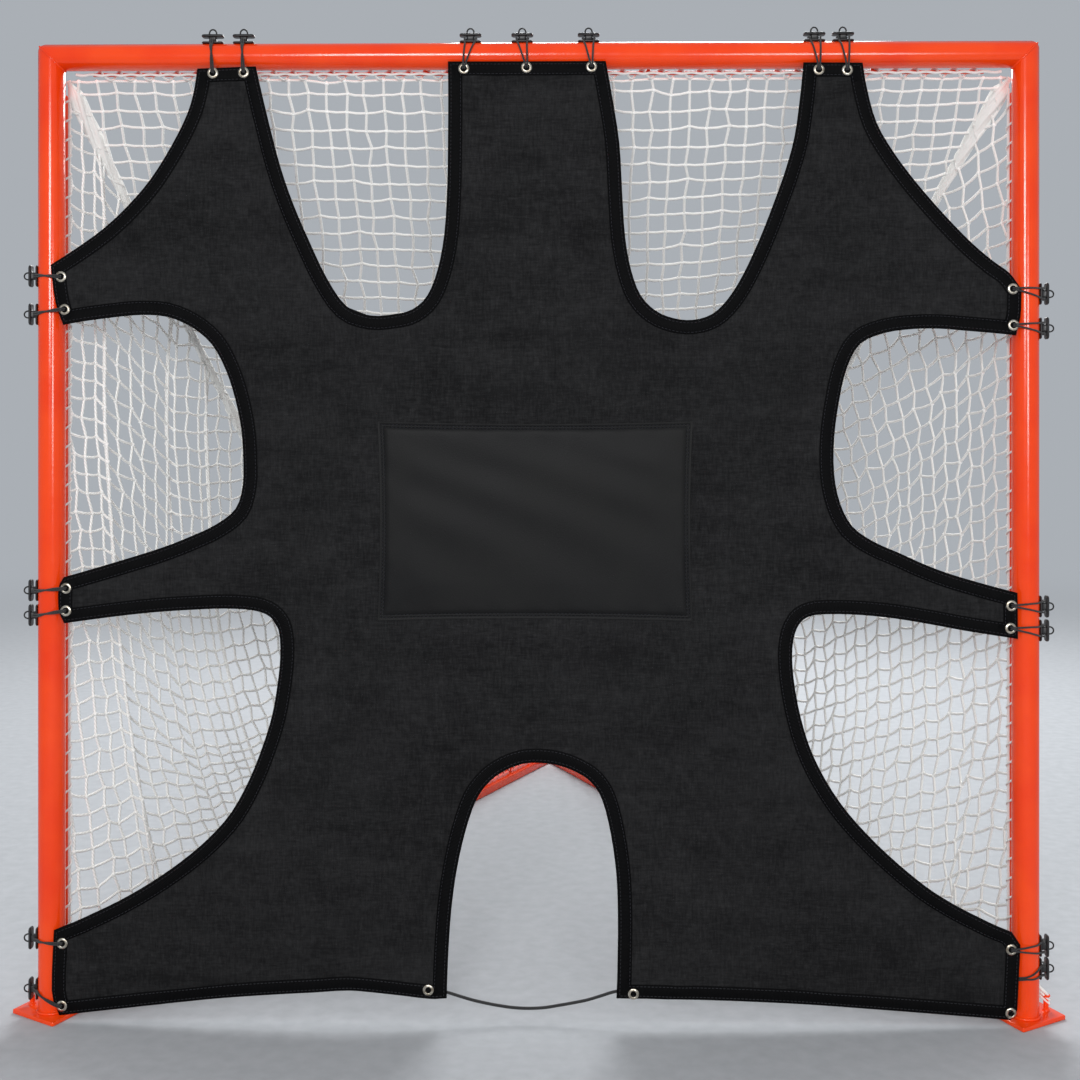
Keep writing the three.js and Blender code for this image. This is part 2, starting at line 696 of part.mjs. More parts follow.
// The origin is on the ground under the middle of the whole.
const bounds = new THREE.Box3().setFromObject(goal, true);
const middle = bounds.getCenter(new THREE.Vector3());
goal.children.forEach((piece) => piece.position.sub(new THREE.Vector3(middle.x, middle.y, bounds.min.z)));

export default goal;
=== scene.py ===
"""A field goal of welded tube with a knotted net, and a cloth shooting target tied across its mouth.
"""

import logging
import math
from collections.abc import Callable, Sequence
from dataclasses import dataclass, field
from enum import Enum
from functools import partial

import bpy
import numpy as np
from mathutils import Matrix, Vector, geometry


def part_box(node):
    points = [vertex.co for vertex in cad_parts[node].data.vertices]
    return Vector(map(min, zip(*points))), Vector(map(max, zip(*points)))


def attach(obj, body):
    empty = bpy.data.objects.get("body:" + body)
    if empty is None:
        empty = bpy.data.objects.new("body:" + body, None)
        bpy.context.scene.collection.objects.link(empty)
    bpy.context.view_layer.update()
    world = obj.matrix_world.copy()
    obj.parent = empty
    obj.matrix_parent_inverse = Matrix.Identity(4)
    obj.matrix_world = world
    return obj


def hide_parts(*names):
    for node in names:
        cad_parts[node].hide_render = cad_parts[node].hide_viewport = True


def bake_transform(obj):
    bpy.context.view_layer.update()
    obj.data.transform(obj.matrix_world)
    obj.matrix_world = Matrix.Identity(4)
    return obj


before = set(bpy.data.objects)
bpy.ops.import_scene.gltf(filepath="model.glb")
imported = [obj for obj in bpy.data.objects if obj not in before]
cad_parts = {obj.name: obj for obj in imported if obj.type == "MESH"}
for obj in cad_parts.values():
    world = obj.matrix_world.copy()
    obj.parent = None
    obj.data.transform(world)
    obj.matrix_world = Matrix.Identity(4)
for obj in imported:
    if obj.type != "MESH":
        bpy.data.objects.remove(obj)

log = logging.getLogger("goal")

Tree = bpy.types.NodeTree
Node = bpy.types.Node
Socket = bpy.types.NodeSocket
Array = np.ndarray
Adder = Callable[..., Node]  # add_node for one tree

UP = np.array([0.0, 0.0, 1.0])
ACROSS = np.array([1.0, 0.0, 0.0])
BACK = np.array([0.0, 1.0, 0.0])
TOUCH = 0.0003  # the gap that the frame keeps between pieces that touch


# Finishes


def linear(colour: str) -> tuple[float, float, float, float]:
    """Turns an sRGB hex colour to linear light.

    Args:
        colour: The colour, such as "#f04a24".

    Returns:
        Red, green, blue and an alpha of 1.
    """
    parts = [int(colour[i : i + 2], 16) / 255 for i in (1, 3, 5)]
    light = [c / 12.92 if c <= 0.04045 else ((c + 0.055) / 1.055) ** 2.4 for c in parts]
    return (*light, 1.0)


def add_node(
    tree: Tree,
    kind: str,
    inputs: dict | None = None,
    stops: Sequence[tuple[float, str]] = (),
    **settings: object,
) -> Node:
    """Adds one shader node.

    Args:
        tree: The node tree.
        kind: The node's type, without "ShaderNode".
        inputs: Socket name or number to a value, a socket that feeds it, or a node whose first output does.
        stops: A colour ramp's two places from 0 to 1, each with its hex colour.
        settings: Attributes of the node itself.

    Returns:
        The node.
    """
    made = tree.nodes.new("ShaderNode" + kind)
    for name, value in settings.items():
        setattr(made, name, value)
    for element, (place, colour) in zip(made.color_ramp.elements if stops else (), stops):
        element.position = place
        element.color = linear(colour)
    for name, value in (inputs or {}).items():
        value = value.outputs[0] if isinstance(value, Node) else value
        if isinstance(value, Socket):
            tree.links.new(value, made.inputs[name])
        else:
            made.inputs[name].default_value = value
    return made


class Finish:
    """A surface finish, made into a Blender material the first time it is asked for."""

    made: dict[str, bpy.types.Material] = {}
    name: str

    def material(self) -> bpy.types.Material:
        """The finish as a Blender material.

        Returns:
            The material, built once.
        """
        if self.name not in Finish.made:
            material = bpy.data.materials.new(self.name)
            material.use_nodes = True
            material.node_tree.nodes.clear()
            add = partial(add_node, material.node_tree)
            place = add("TexCoord").outputs["Object"]
            shader = add("BsdfPrincipled", self.sockets(add, place))
            add("OutputMaterial", {"Surface": shader})
            Finish.made[self.name] = material
        return Finish.made[self.name]

    def sockets(self, add: Adder, place: Socket) -> dict[str, object]:
        """Draws the finish's patterns.

        Args:
            add: Adds a node to the material's tree.
            place: The point's place on the object.

        Returns:
            The Principled BSDF's socket names, each with its value or the node that feeds it.
        """
        raise NotImplementedError


@dataclass(frozen=True)
class EnamelledSteel(Finish):
    """Mild steel tube, sprayed and baked: a thick glossy film that pulls into a slight orange peel."""

    name: str = "baked_enamel_on_steel"
    colour: str = "#f0460f"
    thin: str = "#e93a0a"  # where the film is thinner
    roughness: tuple[float, float] = (0.09, 0.22)
    peel: float = 0.004  # from one dimple to the next
    depth: float = 0.00006

    def sockets(self, add: Adder, place: Socket) -> dict[str, object]:
        """Returns the enamel's colour, clear gloss and orange peel."""
        film = add("TexNoise", {"Vector": place, "Scale": 9.0, "Detail": 3.0})
        dust = add("TexNoise", {"Vector": place, "Scale": 60.0, "Detail": 4.0})
        clean, dusty = self.roughness
        peel = add("TexNoise", {"Vector": place, "Scale": 1 / self.peel, "Detail": 1.0})
        return {
            "Base Color": add("ValToRGB", {"Fac": film}, [(0.32, self.thin), (0.62, self.colour)]),
            "Roughness": add("MapRange", {"Value": dust, "To Min": clean, "To Max": dusty}),
            "Normal": add("Bump", {"Height": peel, "Distance": self.depth}),
            "IOR": 1.5,
            "Specular IOR Level": 0.42,
        }


@dataclass(frozen=True)
class LaidCord(Finish):
    """Spun or braided cord: bundles of yarn that wind round it, seen as slanting ridges."""

    name: str = "white_twisted_nylon"
    light: str = "#fcfcfa"
    # Painted shade: the darker colour painted in the grooves between the yarns, and also real dirt where the
    # soil noise is low.
    groove_shade_and_soil: str = "#e2e1dc"  # in the grooves between yarns
    lay: float = 0.006  # the length of one turn of the yarns
    yarns: int = 3
    ways: tuple[int, ...] = (1,)  # a braid's yarns wind both ways
    roughness: float = 0.75
    sheen: float = 0.1
    depth: float = 0.0004

    def sockets(self, add: Adder, place: Socket) -> dict[str, object]:
        """Draws the yarns from the UV map: U along the cord in metres, V round it from 0 to 1."""
        uv = add("SeparateXYZ", {"Vector": add("UVMap")}).outputs
        heights = []
        for way in self.ways:
            phase = add("Math", {0: uv["X"], 1: way / self.lay, 2: uv["Y"]}, operation="MULTIPLY_ADD")
            angle = add("Math", {0: phase, 1: 2 * math.pi * self.yarns}, operation="MULTIPLY")
            wave = add("Math", {0: angle}, operation="SINE")
            heights.append(add("MapRange", {"Value": wave, "From Min": -1.0}))
        height = add("Math", {0: heights[0], 1: heights[-1]}, operation="MAXIMUM")
        soil = add("TexNoise", {"Vector": place, "Scale": 14.0, "Detail": 5.0})
        mixed = add("Math", {0: height, 1: soil}, operation="MULTIPLY")
        return {
            # Dark in the grooves is painted shade; low soil noise adds real dirt.
            "Base Color": add("ValToRGB", {"Fac": mixed}, [(0.02, self.groove_shade_and_soil), (0.26, self.light)]),
            "Roughness": self.roughness,
            "Sheen Weight": self.sheen,
            "Normal": add("Bump", {"Height": height, "Distance": self.depth}),
        }


@dataclass(frozen=True)
class WovenCloth(Finish):
    """Plain-woven spun polyester: matt, with uneven threads and the creases of cloth that was packed away,
    whose lines are painted lighter: a painted highlight.
    """

    name: str = "plain_woven_polyester"
    colour: str = "#1a1a1b"
    # Painted highlight: the lighter colour painted along the creases, mixed there with the slub and smudge
    # tone.
    crease: str = "#363637"
    shade: str = "#131314"
    thread: float = 0.0016  # the real thread is about 0.5 mm, too fine to show
    folds: tuple[float, float] = (0.055, 0.021)  # from one crease to the next, large and small
    roughness: float = 0.86
    depth: float = 0.00045

    def creases(self, add: Adder, place: Socket, apart: float) -> Node:
        """Crossing crease lines, bent by a noise: 1 on a line, 0 a tenth of a cell from it.

        Args:
            add: Adds a node to the material's tree.
            place: The point's place.
            apart: From one crease to the next.

        Returns:
            The node with the value.
        """
        bend = add("TexNoise", {"Vector": place, "Scale": 0.55 / apart, "Detail": 4.0, "Roughness": 0.65})
        shift = add("VectorMath", {0: bend.outputs["Color"], 1: (0.5, 0.5, 0.5)}, operation="SUBTRACT")
        moved = add("VectorMath", {0: shift, 1: (2.4 * apart,) * 3, 2: place}, operation="MULTIPLY_ADD")
        drawn = add("Mapping", {"Vector": moved, "Scale": (1.0, 0.02, 0.45)})
        cells = add("TexVoronoi", {"Vector": drawn, "Scale": 1 / apart}, feature="DISTANCE_TO_EDGE")
        return add("MapRange", {"Value": cells, "From Max": 0.1, "To Min": 1.0, "To Max": 0.0})

    def sockets(self, add: Adder, place: Socket) -> dict[str, object]:
        """Draws the weave, slubbed threads and creases in the cloth's plane, X and Z; the creases are painted
        lighter, a painted highlight.
        """
        bands = {"Vector": place, "Scale": 0.157 / self.thread, "Distortion": 0.8}
        weft, warp = (add("TexWave", bands, bands_direction=way).outputs["Fac"] for way in ("X", "Z"))
        weave = add("Math", {0: weft, 1: warp}, operation="MULTIPLY")
        shapes = ((1.0, 1.0, 0.16), (0.16, 1.0, 1.0))
        tall, wide = (add("Mapping", {"Vector": place, "Scale": shape}) for shape in shapes)
        grain = {"Scale": 260.0, "Detail": 2.0, "Roughness": 0.7}
        down, across = (add("TexNoise", {"Vector": way, **grain}) for way in (tall, wide))
        slub = add("Math", {0: down, 1: across}, operation="MULTIPLY")
        cloud = add("TexNoise", {"Vector": place, "Scale": 9.0, "Detail": 9.0, "Roughness": 0.7})
        large, small = (self.creases(add, place, apart) for apart in self.folds)
        both = add("Math", {0: large, 1: small}, operation="ADD")
        # The crease lines, faded by the cloud: their lighter colour below is painted highlight, and they
        # raise the bump too.
        worn = add("Math", {0: both, 1: cloud}, operation="MULTIPLY")
        smudge = add("TexNoise", {"Vector": wide, "Scale": 22.0, "Detail": 7.0, "Roughness": 0.72})
        brushed = add("Math", {0: smudge, 1: 0.55, 2: slub}, operation="MULTIPLY_ADD")
        share = add("Math", {0: worn, 1: 0.11, 2: brushed}, operation="MULTIPLY_ADD")
        # Where pale is high the crease colour is painted: painted highlight on the creases, with slub and
        # smudge tone.
        pale = add("MapRange", {"Value": share, "From Min": 0.42, "From Max": 1.05, "To Max": 0.75})
        ground = add("ValToRGB", {"Fac": cloud}, [(0.36, self.shade), (0.62, self.colour)])
        soft = add("Math", {0: worn, 1: 0.9}, operation="MULTIPLY")
        raised = add("Math", {0: weave, 1: 0.35, 2: soft}, operation="MULTIPLY_ADD")
        high = add("Math", {0: cloud, 1: 2.2, 2: raised}, operation="MULTIPLY_ADD")
        return {
            "Base Color": add("MixRGB", {"Fac": pale, "Color1": ground, "Color2": linear(self.crease)}),
            "Roughness": self.roughness,
            "Specular IOR Level": 0.08,
            "Normal": add("Bump", {"Height": high, "Distance": self.depth, "Strength": 0.7}),
        }


@dataclass(frozen=True)
class WebbingTape(Finish):
    """Polypropylene tape, woven with ribs across its width and folded over the cloth's edge."""

    name: str = "ribbed_polypropylene_tape"
    colour: str = "#0a0a0b"
    # Painted shade: the darker colour painted between the ribs, mixed with the fibres' random fuzz.
    groove_shade_and_fuzz: str = "#040405"
    rib: float = 0.0026  # real ribs are about 1 mm
    roughness: float = 0.62
    depth: float = 0.0003

    def sockets(self, add: Adder, place: Socket) -> dict[str, object]:
        """Draws the ribs from the UV map, whose U runs along the tape in metres."""
        run = add("SeparateXYZ", {"Vector": add("UVMap")})
        angle = add("Math", {0: run, 1: 2 * math.pi / self.rib}, operation="MULTIPLY")
        wave = add("Math", {0: angle}, operation="SINE")
        height = add("MapRange", {"Value": wave, "From Min": -1.0})
        fuzz = add("TexNoise", {"Vector": place, "Scale": 90.0, "Detail": 4.0})
        mixed = add("Math", {0: height, 1: fuzz}, operation="MULTIPLY")
        return {
            # Dark between the ribs is painted shade; the fuzz noise is the tape's own uneven tone.
            "Base Color": add("ValToRGB", {"Fac": mixed}, [(0.1, self.groove_shade_and_fuzz), (0.6, self.colour)]),
            "Roughness": self.roughness,
            "Specular IOR Level": 0.06,
            "Normal": add("Bump", {"Height": height, "Distance": self.depth}),
        }


@dataclass(frozen=True)
class CoatedCloth(Finish):
    """Polyester cloth coated with PVC: smoother and darker than the target, with a faint pebbled gloss."""

    name: str = "pvc_coated_polyester"
    colour: str = "#181818"
    edge: str = "#121213"
    roughness: tuple[float, float] = (0.40, 0.62)
    pebble: float = 0.0024
    depth: float = 0.0001

    def sockets(self, add: Adder, place: Socket) -> dict[str, object]:
        """Returns the coat's colour, pebbles and uneven gloss."""
        cloud = add("TexNoise", {"Vector": place, "Scale": 7.0, "Detail": 6.0})
        pebble = add("TexVoronoi", {"Vector": place, "Scale": 1 / self.pebble})
        glossy, dull = self.roughness
        return {
            "Base Color": add("ValToRGB", {"Fac": cloud}, [(0.35, self.edge), (0.65, self.colour)]),
            "Roughness": add("MapRange", {"Value": cloud, "To Min": glossy, "To Max": dull}),
            "Specular IOR Level": 0.12,
            "Normal": add("Bump", {"Height": pebble, "Distance": self.depth}),
        }


@dataclass(frozen=True)
class MouldedPlastic(Finish):
    """Injection-moulded ABS: a fine even texture from the mould, slightly glossy on its edges."""

    name: str = "moulded_abs"
    colour: str = "#1b1b1c"
    worn: str = "#2c2c2d"
    roughness: float = 0.42
    grain: float = 0.0012
    depth: float = 0.00008

    def sockets(self, add: Adder, place: Socket) -> dict[str, object]:
        """Returns the plastic's colour, mould grain and handling wear."""
        grain = add("TexNoise", {"Vector": place, "Scale": 1 / self.grain, "Detail": 2.0})
        wear = add("TexNoise", {"Vector": place, "Scale": 55.0, "Detail": 4.0})
        return {
            "Base Color": add("ValToRGB", {"Fac": wear}, [(0.45, self.colour), (0.75, self.worn)]),
            "Roughness": self.roughness,
            "IOR": 1.53,
            "Normal": add("Bump", {"Height": grain, "Distance": self.depth}),
        }


@dataclass(frozen=True)
class NickelPlate(Finish):
    """Pressed brass with nickel plate: bright metal with a warm tint, polished by its rolling."""

    name: str = "nickel_plated_brass"
    colour: str = "#cfc8ba"
    tarnish: str = "#8f8270"
    roughness: tuple[float, float] = (0.40, 0.20)

    def sockets(self, add: Adder, place: Socket) -> dict[str, object]:
        """Returns the plate's colour, tarnish and roughness."""
        cloud = add("TexNoise", {"Vector": place, "Scale": 160.0, "Detail": 4.0})
        dull, bright = self.roughness
        return {
            "Base Color": add("ValToRGB", {"Fac": cloud}, [(0.34, self.tarnish), (0.6, self.colour)]),
            "Roughness": add("MapRange", {"Value": cloud, "To Min": dull, "To Max": bright}),
            "Metallic": 1.0,
        }


@dataclass(frozen=True)
class SewingThread(Finish):
    """Bonded nylon thread, pulled tight: small shiny bars in a row."""

    name: str = "bonded_nylon_thread"
    colour: str = "#26262c"
    shade: str = "#1a1a1f"
    roughness: float = 0.5

    def sockets(self, add: Adder, place: Socket) -> dict[str, object]:
        """Returns the thread's colour, a little uneven along the seam, and its gloss."""
        cloud = add("TexNoise", {"Vector": place, "Scale": 40.0, "Detail": 2.0})
        colour = add("ValToRGB", {"Fac": cloud}, [(0.3, self.shade), (0.7, self.colour)])
        return {"Base Color": colour, "Roughness": self.roughness}


ENAMEL = EnamelledSteel()
NET_CORD = LaidCord()
# The elastic's second colour is painted shade in the braid's grooves, and its dirt where the soil noise is
# low.
ELASTIC = LaidCord("braided_elastic_cord", "#1f1f20", "#0a0a0b", 0.007, 6, (1, -1), 0.6, 0.15)
CLOTH = WovenCloth()
TAPE = WebbingTape()
COATED = CoatedCloth()
PLASTIC = MouldedPlastic()
NICKEL = NickelPlate()
THREAD = SewingThread()


class Slot(Enum):
    """The record's material slots."""

    STEEL = "painted_steel"
    NET = "net_cord"
    CLOTH = "target_fabric"
    TAPE = "webbing"
    COATED = "coated_fabric"
    ELASTIC = "elastic"
    PLASTIC = "toggle_plastic"
    NICKEL = "grommet_nickel"


# Surfaces


@dataclass
class Surface:
    """Points and the polygons between them, with a UV pair for each corner of each quad."""

    points: Array
    quads: Array
    uvs: Array
    tris: Array = field(default_factory=lambda: np.zeros((0, 3), int))

    @staticmethod
    def joined(parts: Sequence["Surface"]) -> "Surface":
        """Joins surfaces into one.

        Args:
            parts: The surfaces.

        Returns:
            All their points and polygons, with the corner numbers moved on.
        """
        starts = np.cumsum([0] + [len(p.points) for p in parts[:-1]])
        return Surface(
            np.concatenate([p.points for p in parts]),
            np.concatenate([p.quads + s for p, s in zip(parts, starts)]),
            np.concatenate([p.uvs for p in parts]),
            np.concatenate([p.tris + s for p, s in zip(parts, starts)]),
        )

    def moved(self, place: Callable[[Array], Array]) -> "Surface":
        """Returns the surface with each point put through a function of all points."""
        return Surface(place(self.points), self.quads, self.uvs, self.tris)

    def repeated(self, points: Array) -> "Surface":
        """Repeats the surface's polygons.

        Args:
            points: Copies by any rows and columns of points, by 3.

        Returns:
            The polygons once for each copy's points.
        """
        starts = np.arange(len(points))[:, None, None] * len(self.points)
        quads, tris = (self.quads + starts).reshape(-1, 4), (self.tris + starts).reshape(-1, 3)
        return Surface(points.reshape(-1, 3), quads, np.tile(self.uvs, (len(points), 1, 1)), tris)

    def piece(
        self,
        name: str,
        finish: Finish,
        slot: Slot,
        *replaced: str,
        body: str | None = "goal",
        crease: float = 38.0,
    ) -> bpy.types.Object:
        """Makes the surface a piece.

        Args:
            name: The piece's name.
            finish: Its finish.
            slot: The record's material slot; not used.
            replaced: The nodes that it stands for.
            body: The body that it rides on, or None to leave it unattached.
            crease: Edges that turn more than this many degrees stay sharp.

        Returns:
            The object.
        """
        mesh = bpy.data.meshes.new(name)
        mesh.vertices.add(len(self.points))
        mesh.vertices.foreach_set("co", self.points.astype(np.float32).ravel())
        corners = np.concatenate([self.quads.ravel(), self.tris.ravel()])
        mesh.loops.add(len(corners))
        mesh.loops.foreach_set("vertex_index", corners.astype(np.int32))
        sizes = np.concatenate([np.full(len(self.quads), 4), np.full(len(self.tris), 3)])
        mesh.polygons.add(len(sizes))
        mesh.polygons.foreach_set("loop_start", np.concatenate([[0], np.cumsum(sizes)[:-1]]).astype(np.int32))
        uvs = np.concatenate([self.uvs.reshape(-1, 2), np.zeros((self.tris.size, 2))])
        mesh.update(calc_edges=True)
        mesh.uv_layers.new(name="UVMap").uv.foreach_set("vector", uvs.astype(np.float32).ravel())
        mesh.shade_smooth()
        mesh.set_sharp_from_angle(angle=math.radians(crease))
        mesh.validate()
        mesh.materials.append(finish.material())
        made = bpy.data.objects.new(name, mesh)
        bpy.context.scene.collection.objects.link(made)
        if body:
            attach(made, body)
        if replaced:
            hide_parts(*replaced)
        log.info("%s: %d faces", name, len(sizes))
        return made


def grid(
    points: Array, along: Array | None = None, round_rows: bool = False, round_columns: bool = False
) -> Surface:
    """Quads between the points of a grid, seen from (step to the next column) x (step to the next row).

    Args:
        points: Rows by columns by 3.
        along: Each row's U, in metres, or None for its number.
        round_rows: Whether the last row joins the first.
        round_columns: Whether the last column joins the first.

    Returns:
        The surface, with V from 0 to 1 across the columns.
    """
    rows, columns = points.shape[:2]
    last_row, last_column = rows - (not round_rows), columns - (not round_columns)
    i, j = (n.ravel() for n in np.meshgrid(np.arange(last_row), np.arange(last_column), indexing="ij"))
    ni, nj = (i + 1) % rows, (j + 1) % columns
    quads = np.stack([i * columns + j, i * columns + nj, ni * columns + nj, ni * columns + j], axis=1)
    u = np.arange(rows + 1, dtype=float) if along is None else np.append(along, 2 * along[-1] - along[-2])
    v = np.arange(columns + 1) / last_column
    corners = ((i, j), (i, j + 1), (i + 1, j + 1), (i + 1, j))
    uvs = np.stack([np.stack([u[a], v[b]], 1) for a, b in corners], axis=1)
    return Surface(points.reshape(-1, 3), quads, uvs)


def skin(rings: Array, along: Array | None = None) -> Surface:
    """Rings joined into a closed skin, whose first and last rings are closed by flat fans.

    Args:
        rings: Rings by points by 3; a ring turns anticlockwise seen from the last ring.
        along: Each ring's U, in metres, or None for its number.

    Returns:
        The skin.
    """
    made = grid(rings, along, round_columns=True)
    count, sides = rings.shape[:2]
    j = np.arange(1, sides - 1)
    low, high = np.zeros_like(j), np.full_like(j, (count - 1) * sides)
    made.tris = np.concatenate([np.stack([low, j + 1, j], 1), np.stack([high, j + high, j + 1 + high], 1)])
    return made


def unit(vectors: Array) -> Array:
    """Returns the vectors at length 1."""
    return vectors / np.maximum(np.linalg.norm(vectors, axis=-1, keepdims=True), 1e-12)


def lengths(path: Array) -> Array:
    """Returns the length along a path at each of its points."""
    return np.concatenate([[0.0], np.cumsum(np.linalg.norm(np.diff(path, axis=0), axis=1))])


def circle(sides: int) -> Array:
    """Returns even angles round a circle."""
    return np.linspace(0, 2 * np.pi, sides, endpoint=False)


def spokes(first: Array, second: Array, angle: Array) -> Array:
    """Returns cos a of the first directions plus sin a of the second; angles are the last axis but one."""
    return np.cos(angle)[:, None] * first[..., None, :] + np.sin(angle)[:, None] * second[..., None, :]


def tube(
    path: Array, radius: float | Array, sides: int = 8, beside: Array = UP, closed: bool = False
) -> Surface:
    """A tube round a path: ring point = path + radius (cos a N + sin a B), N across the path and B = T x N.

    Args:
        path: The centreline's points.
        radius: One radius, or one for each point.
        sides: Points round each ring.
        beside: A direction that the path never runs along, from which N is made square to the path.
        closed: Whether the last point joins the first.

    Returns:
        The tube, closed at its ends by fans.
    """
    ahead = np.roll(path, -1, 0) - np.roll(path, 1, 0)
    if not closed:
        ahead[0], ahead[-1] = path[1] - path[0], path[-1] - path[-2]
    tangent = unit(ahead)
    normal = unit(beside - (tangent @ beside)[:, None] * tangent)
    reach = np.broadcast_to(radius, len(path))[:, None, None]
    rings = path[:, None] + reach * spokes(normal, np.cross(tangent, normal), circle(sides))
    if closed:
        return grid(rings, lengths(path), round_rows=True, round_columns=True)
    return skin(rings, lengths(path))


def bundle(paths: Array, radius: float, sides: int = 5) -> Surface:
    """Many open tubes of one number of points at once, for the cords of a net.

    Args:
        paths: Tubes by points by 3.
        radius: Each tube's radius.
        sides: Points round each ring.

    Returns:
        The tubes, open at their ends, which lie inside knots.
    """
    tangent = unit(np.gradient(paths, axis=1))
    whole = unit(paths[:, -1:] - paths[:, :1])
    beside = np.where(np.abs(whole[..., 1:2]) > 0.7, ACROSS, BACK)  # one for a whole tube, so it has no twist
    normal = unit(beside - (tangent * beside).sum(-1, keepdims=True) * tangent)
    rings = paths[:, :, None] + radius * spokes(normal, np.cross(tangent, normal), circle(sides))
    return grid(rings[0], lengths(paths[0]), round_columns=True).repeated(rings)


def spline(points: Array, steps: int, closed: bool = False, corners: Sequence[int] = ()) -> Array:
    """A smooth path through points: uniform Catmull-Rom, whose slope at a point is half the step from the
    point before it to the point after it, and whose slopes at a corner stop there.

    Args:
        points: The points, any number of columns.
        steps: New points from one to the next.
        closed: Whether the last point joins the first.
        corners: Numbers of the points where the path turns sharply.

    Returns:
        The path's points, the last one included unless it is closed.
    """
    before, after = np.roll(points, 1, 0), np.roll(points, -1, 0)
    if not closed:
        before[0], after[-1] = points[0], points[-1]
    slope = (after - before) / 2
    arriving, leaving = slope.copy(), slope.copy()
    for corner in corners:
        arriving[corner] = points[corner] - before[corner]
        leaving[corner] = after[corner] - points[corner]
    t = (np.arange(steps) / steps)[None, :, None]
    count = len(points) if closed else len(points) - 1
    start, end = points[:count, None], after[:count, None]
    out, into = leaving[:count, None], np.roll(arriving, -1, 0)[:count, None]
    h = 2 * t**3 - 3 * t**2 + 1
    path = h * start + (t**3 - 2 * t**2 + t) * out + (1 - h) * end + (t**3 - t**2) * into
    path = path.reshape(-1, points.shape[1])
    return path if closed else np.concatenate([path, points[-1:]])


def turned(profile: Array, centre: Array, axis: Array, beside: Array, sides: int = 32) -> Surface:
    """Returns a closed profile carried round an axis: point = centre + r (cos a E + sin a F) + h axis."""
    spoke = spokes(beside, np.cross(axis, beside), circle(sides))[:, None]
    return grid(centre + profile[:, :1] * spoke + profile[:, 1:] * axis, round_rows=True, round_columns=True)


def lathe(profile: Sequence[Sequence[float]], centre: Array, axis: Array = UP, sides: int = 32) -> Surface:
    """A solid of revolution: ring point = centre + r (cos a E + sin a F) + h axis.

    Args:
        profile: Pairs of radius r, above 0, and height h, from the low end to the high end.
        centre: The profile's zero.
        axis: The axis, of length 1.
        sides: Steps round it.

    Returns:
        The solid's skin.
    """
    beside = unit(np.cross(axis, ACROSS if abs(axis[0]) < 0.9 else BACK))
    shape = np.array(profile)[:, None]
    spoke = spokes(beside, np.cross(axis, beside), circle(sides))
    return skin(centre + shape[..., :1] * spoke + shape[..., 1:] * axis)


def left_of(headings: Array) -> Array:
    """Returns flat directions turned a quarter turn to the left."""
    return np.stack([-headings[:, 1], headings[:, 0]], 1)


def headings(corners: Array) -> tuple[Array, Array, Array]:
    """How an outline turns at each corner.

    Args:
        corners: The corners, N by 2.

    Returns:
        The directions into and out of each corner, and its turn, positive to the left.
    """
    into, out_of = unit(corners - np.roll(corners, 1, 0)), unit(np.roll(corners, -1, 0) - corners)
    cross = into[:, 0] * out_of[:, 1] - into[:, 1] * out_of[:, 0]
    return into, out_of, np.arctan2(cross, (into * out_of).sum(1))


def rounded(corners: Array, radius: float, grown: float = 0.0, steps: int = 6) -> Array:
    """A convex outline with round corners: arcs of the radius about centres set in from each corner.

    Args:
        corners: The corners, anticlockwise, N by 2.
        radius: The corners' radius.
        grown: How far the whole outline lies outside that, or inside where it is below 0.
        steps: Points on each arc, less one.

    Returns:
        The outline's points.
    """
    into, out_of, turn = headings(corners)
    centre = corners + unit(left_of(into + out_of)) * (radius / np.cos(turn / 2))[:, None]
    angle = np.arctan2(-into[:, 0], into[:, 1])[:, None] + turn[:, None] * np.linspace(0, 1, steps + 1)
    arc = np.stack([np.cos(angle), np.sin(angle)], -1)
    return (centre[:, None] + (radius + grown) * arc).reshape(-1, 2)


def rectangle(width: float, height: float) -> Array:
    """Returns the corners of a rectangle about zero, anticlockwise."""
    return np.array([[-1, -1], [1, -1], [1, 1], [-1, 1]]) * (width / 2, height / 2)


def beaded(path: Array, radius: float, beside: Array, closed: bool) -> Surface:
    """Returns a weld bead: a tube whose radius swells and sinks by a tenth every 4 mm along its seam."""
    return tube(path, radius * (1 + 0.1 * np.sin(2 * np.pi * lengths(path) / 0.004)), 8, beside, closed)


def box(node: str) -> tuple[Array, Array]:
    """Returns the low and the high corner of a node's box."""
    low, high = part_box(node)
    return np.array(low), np.array(high)


# The frame


class Side(Enum):
    """A side of the goal, seen from in front, with the sign of its X."""

    LEFT = -1
    RIGHT = 1

    @property
    def label(self) -> str:
        """Returns the side's name in lower case."""
        return self.name.lower()


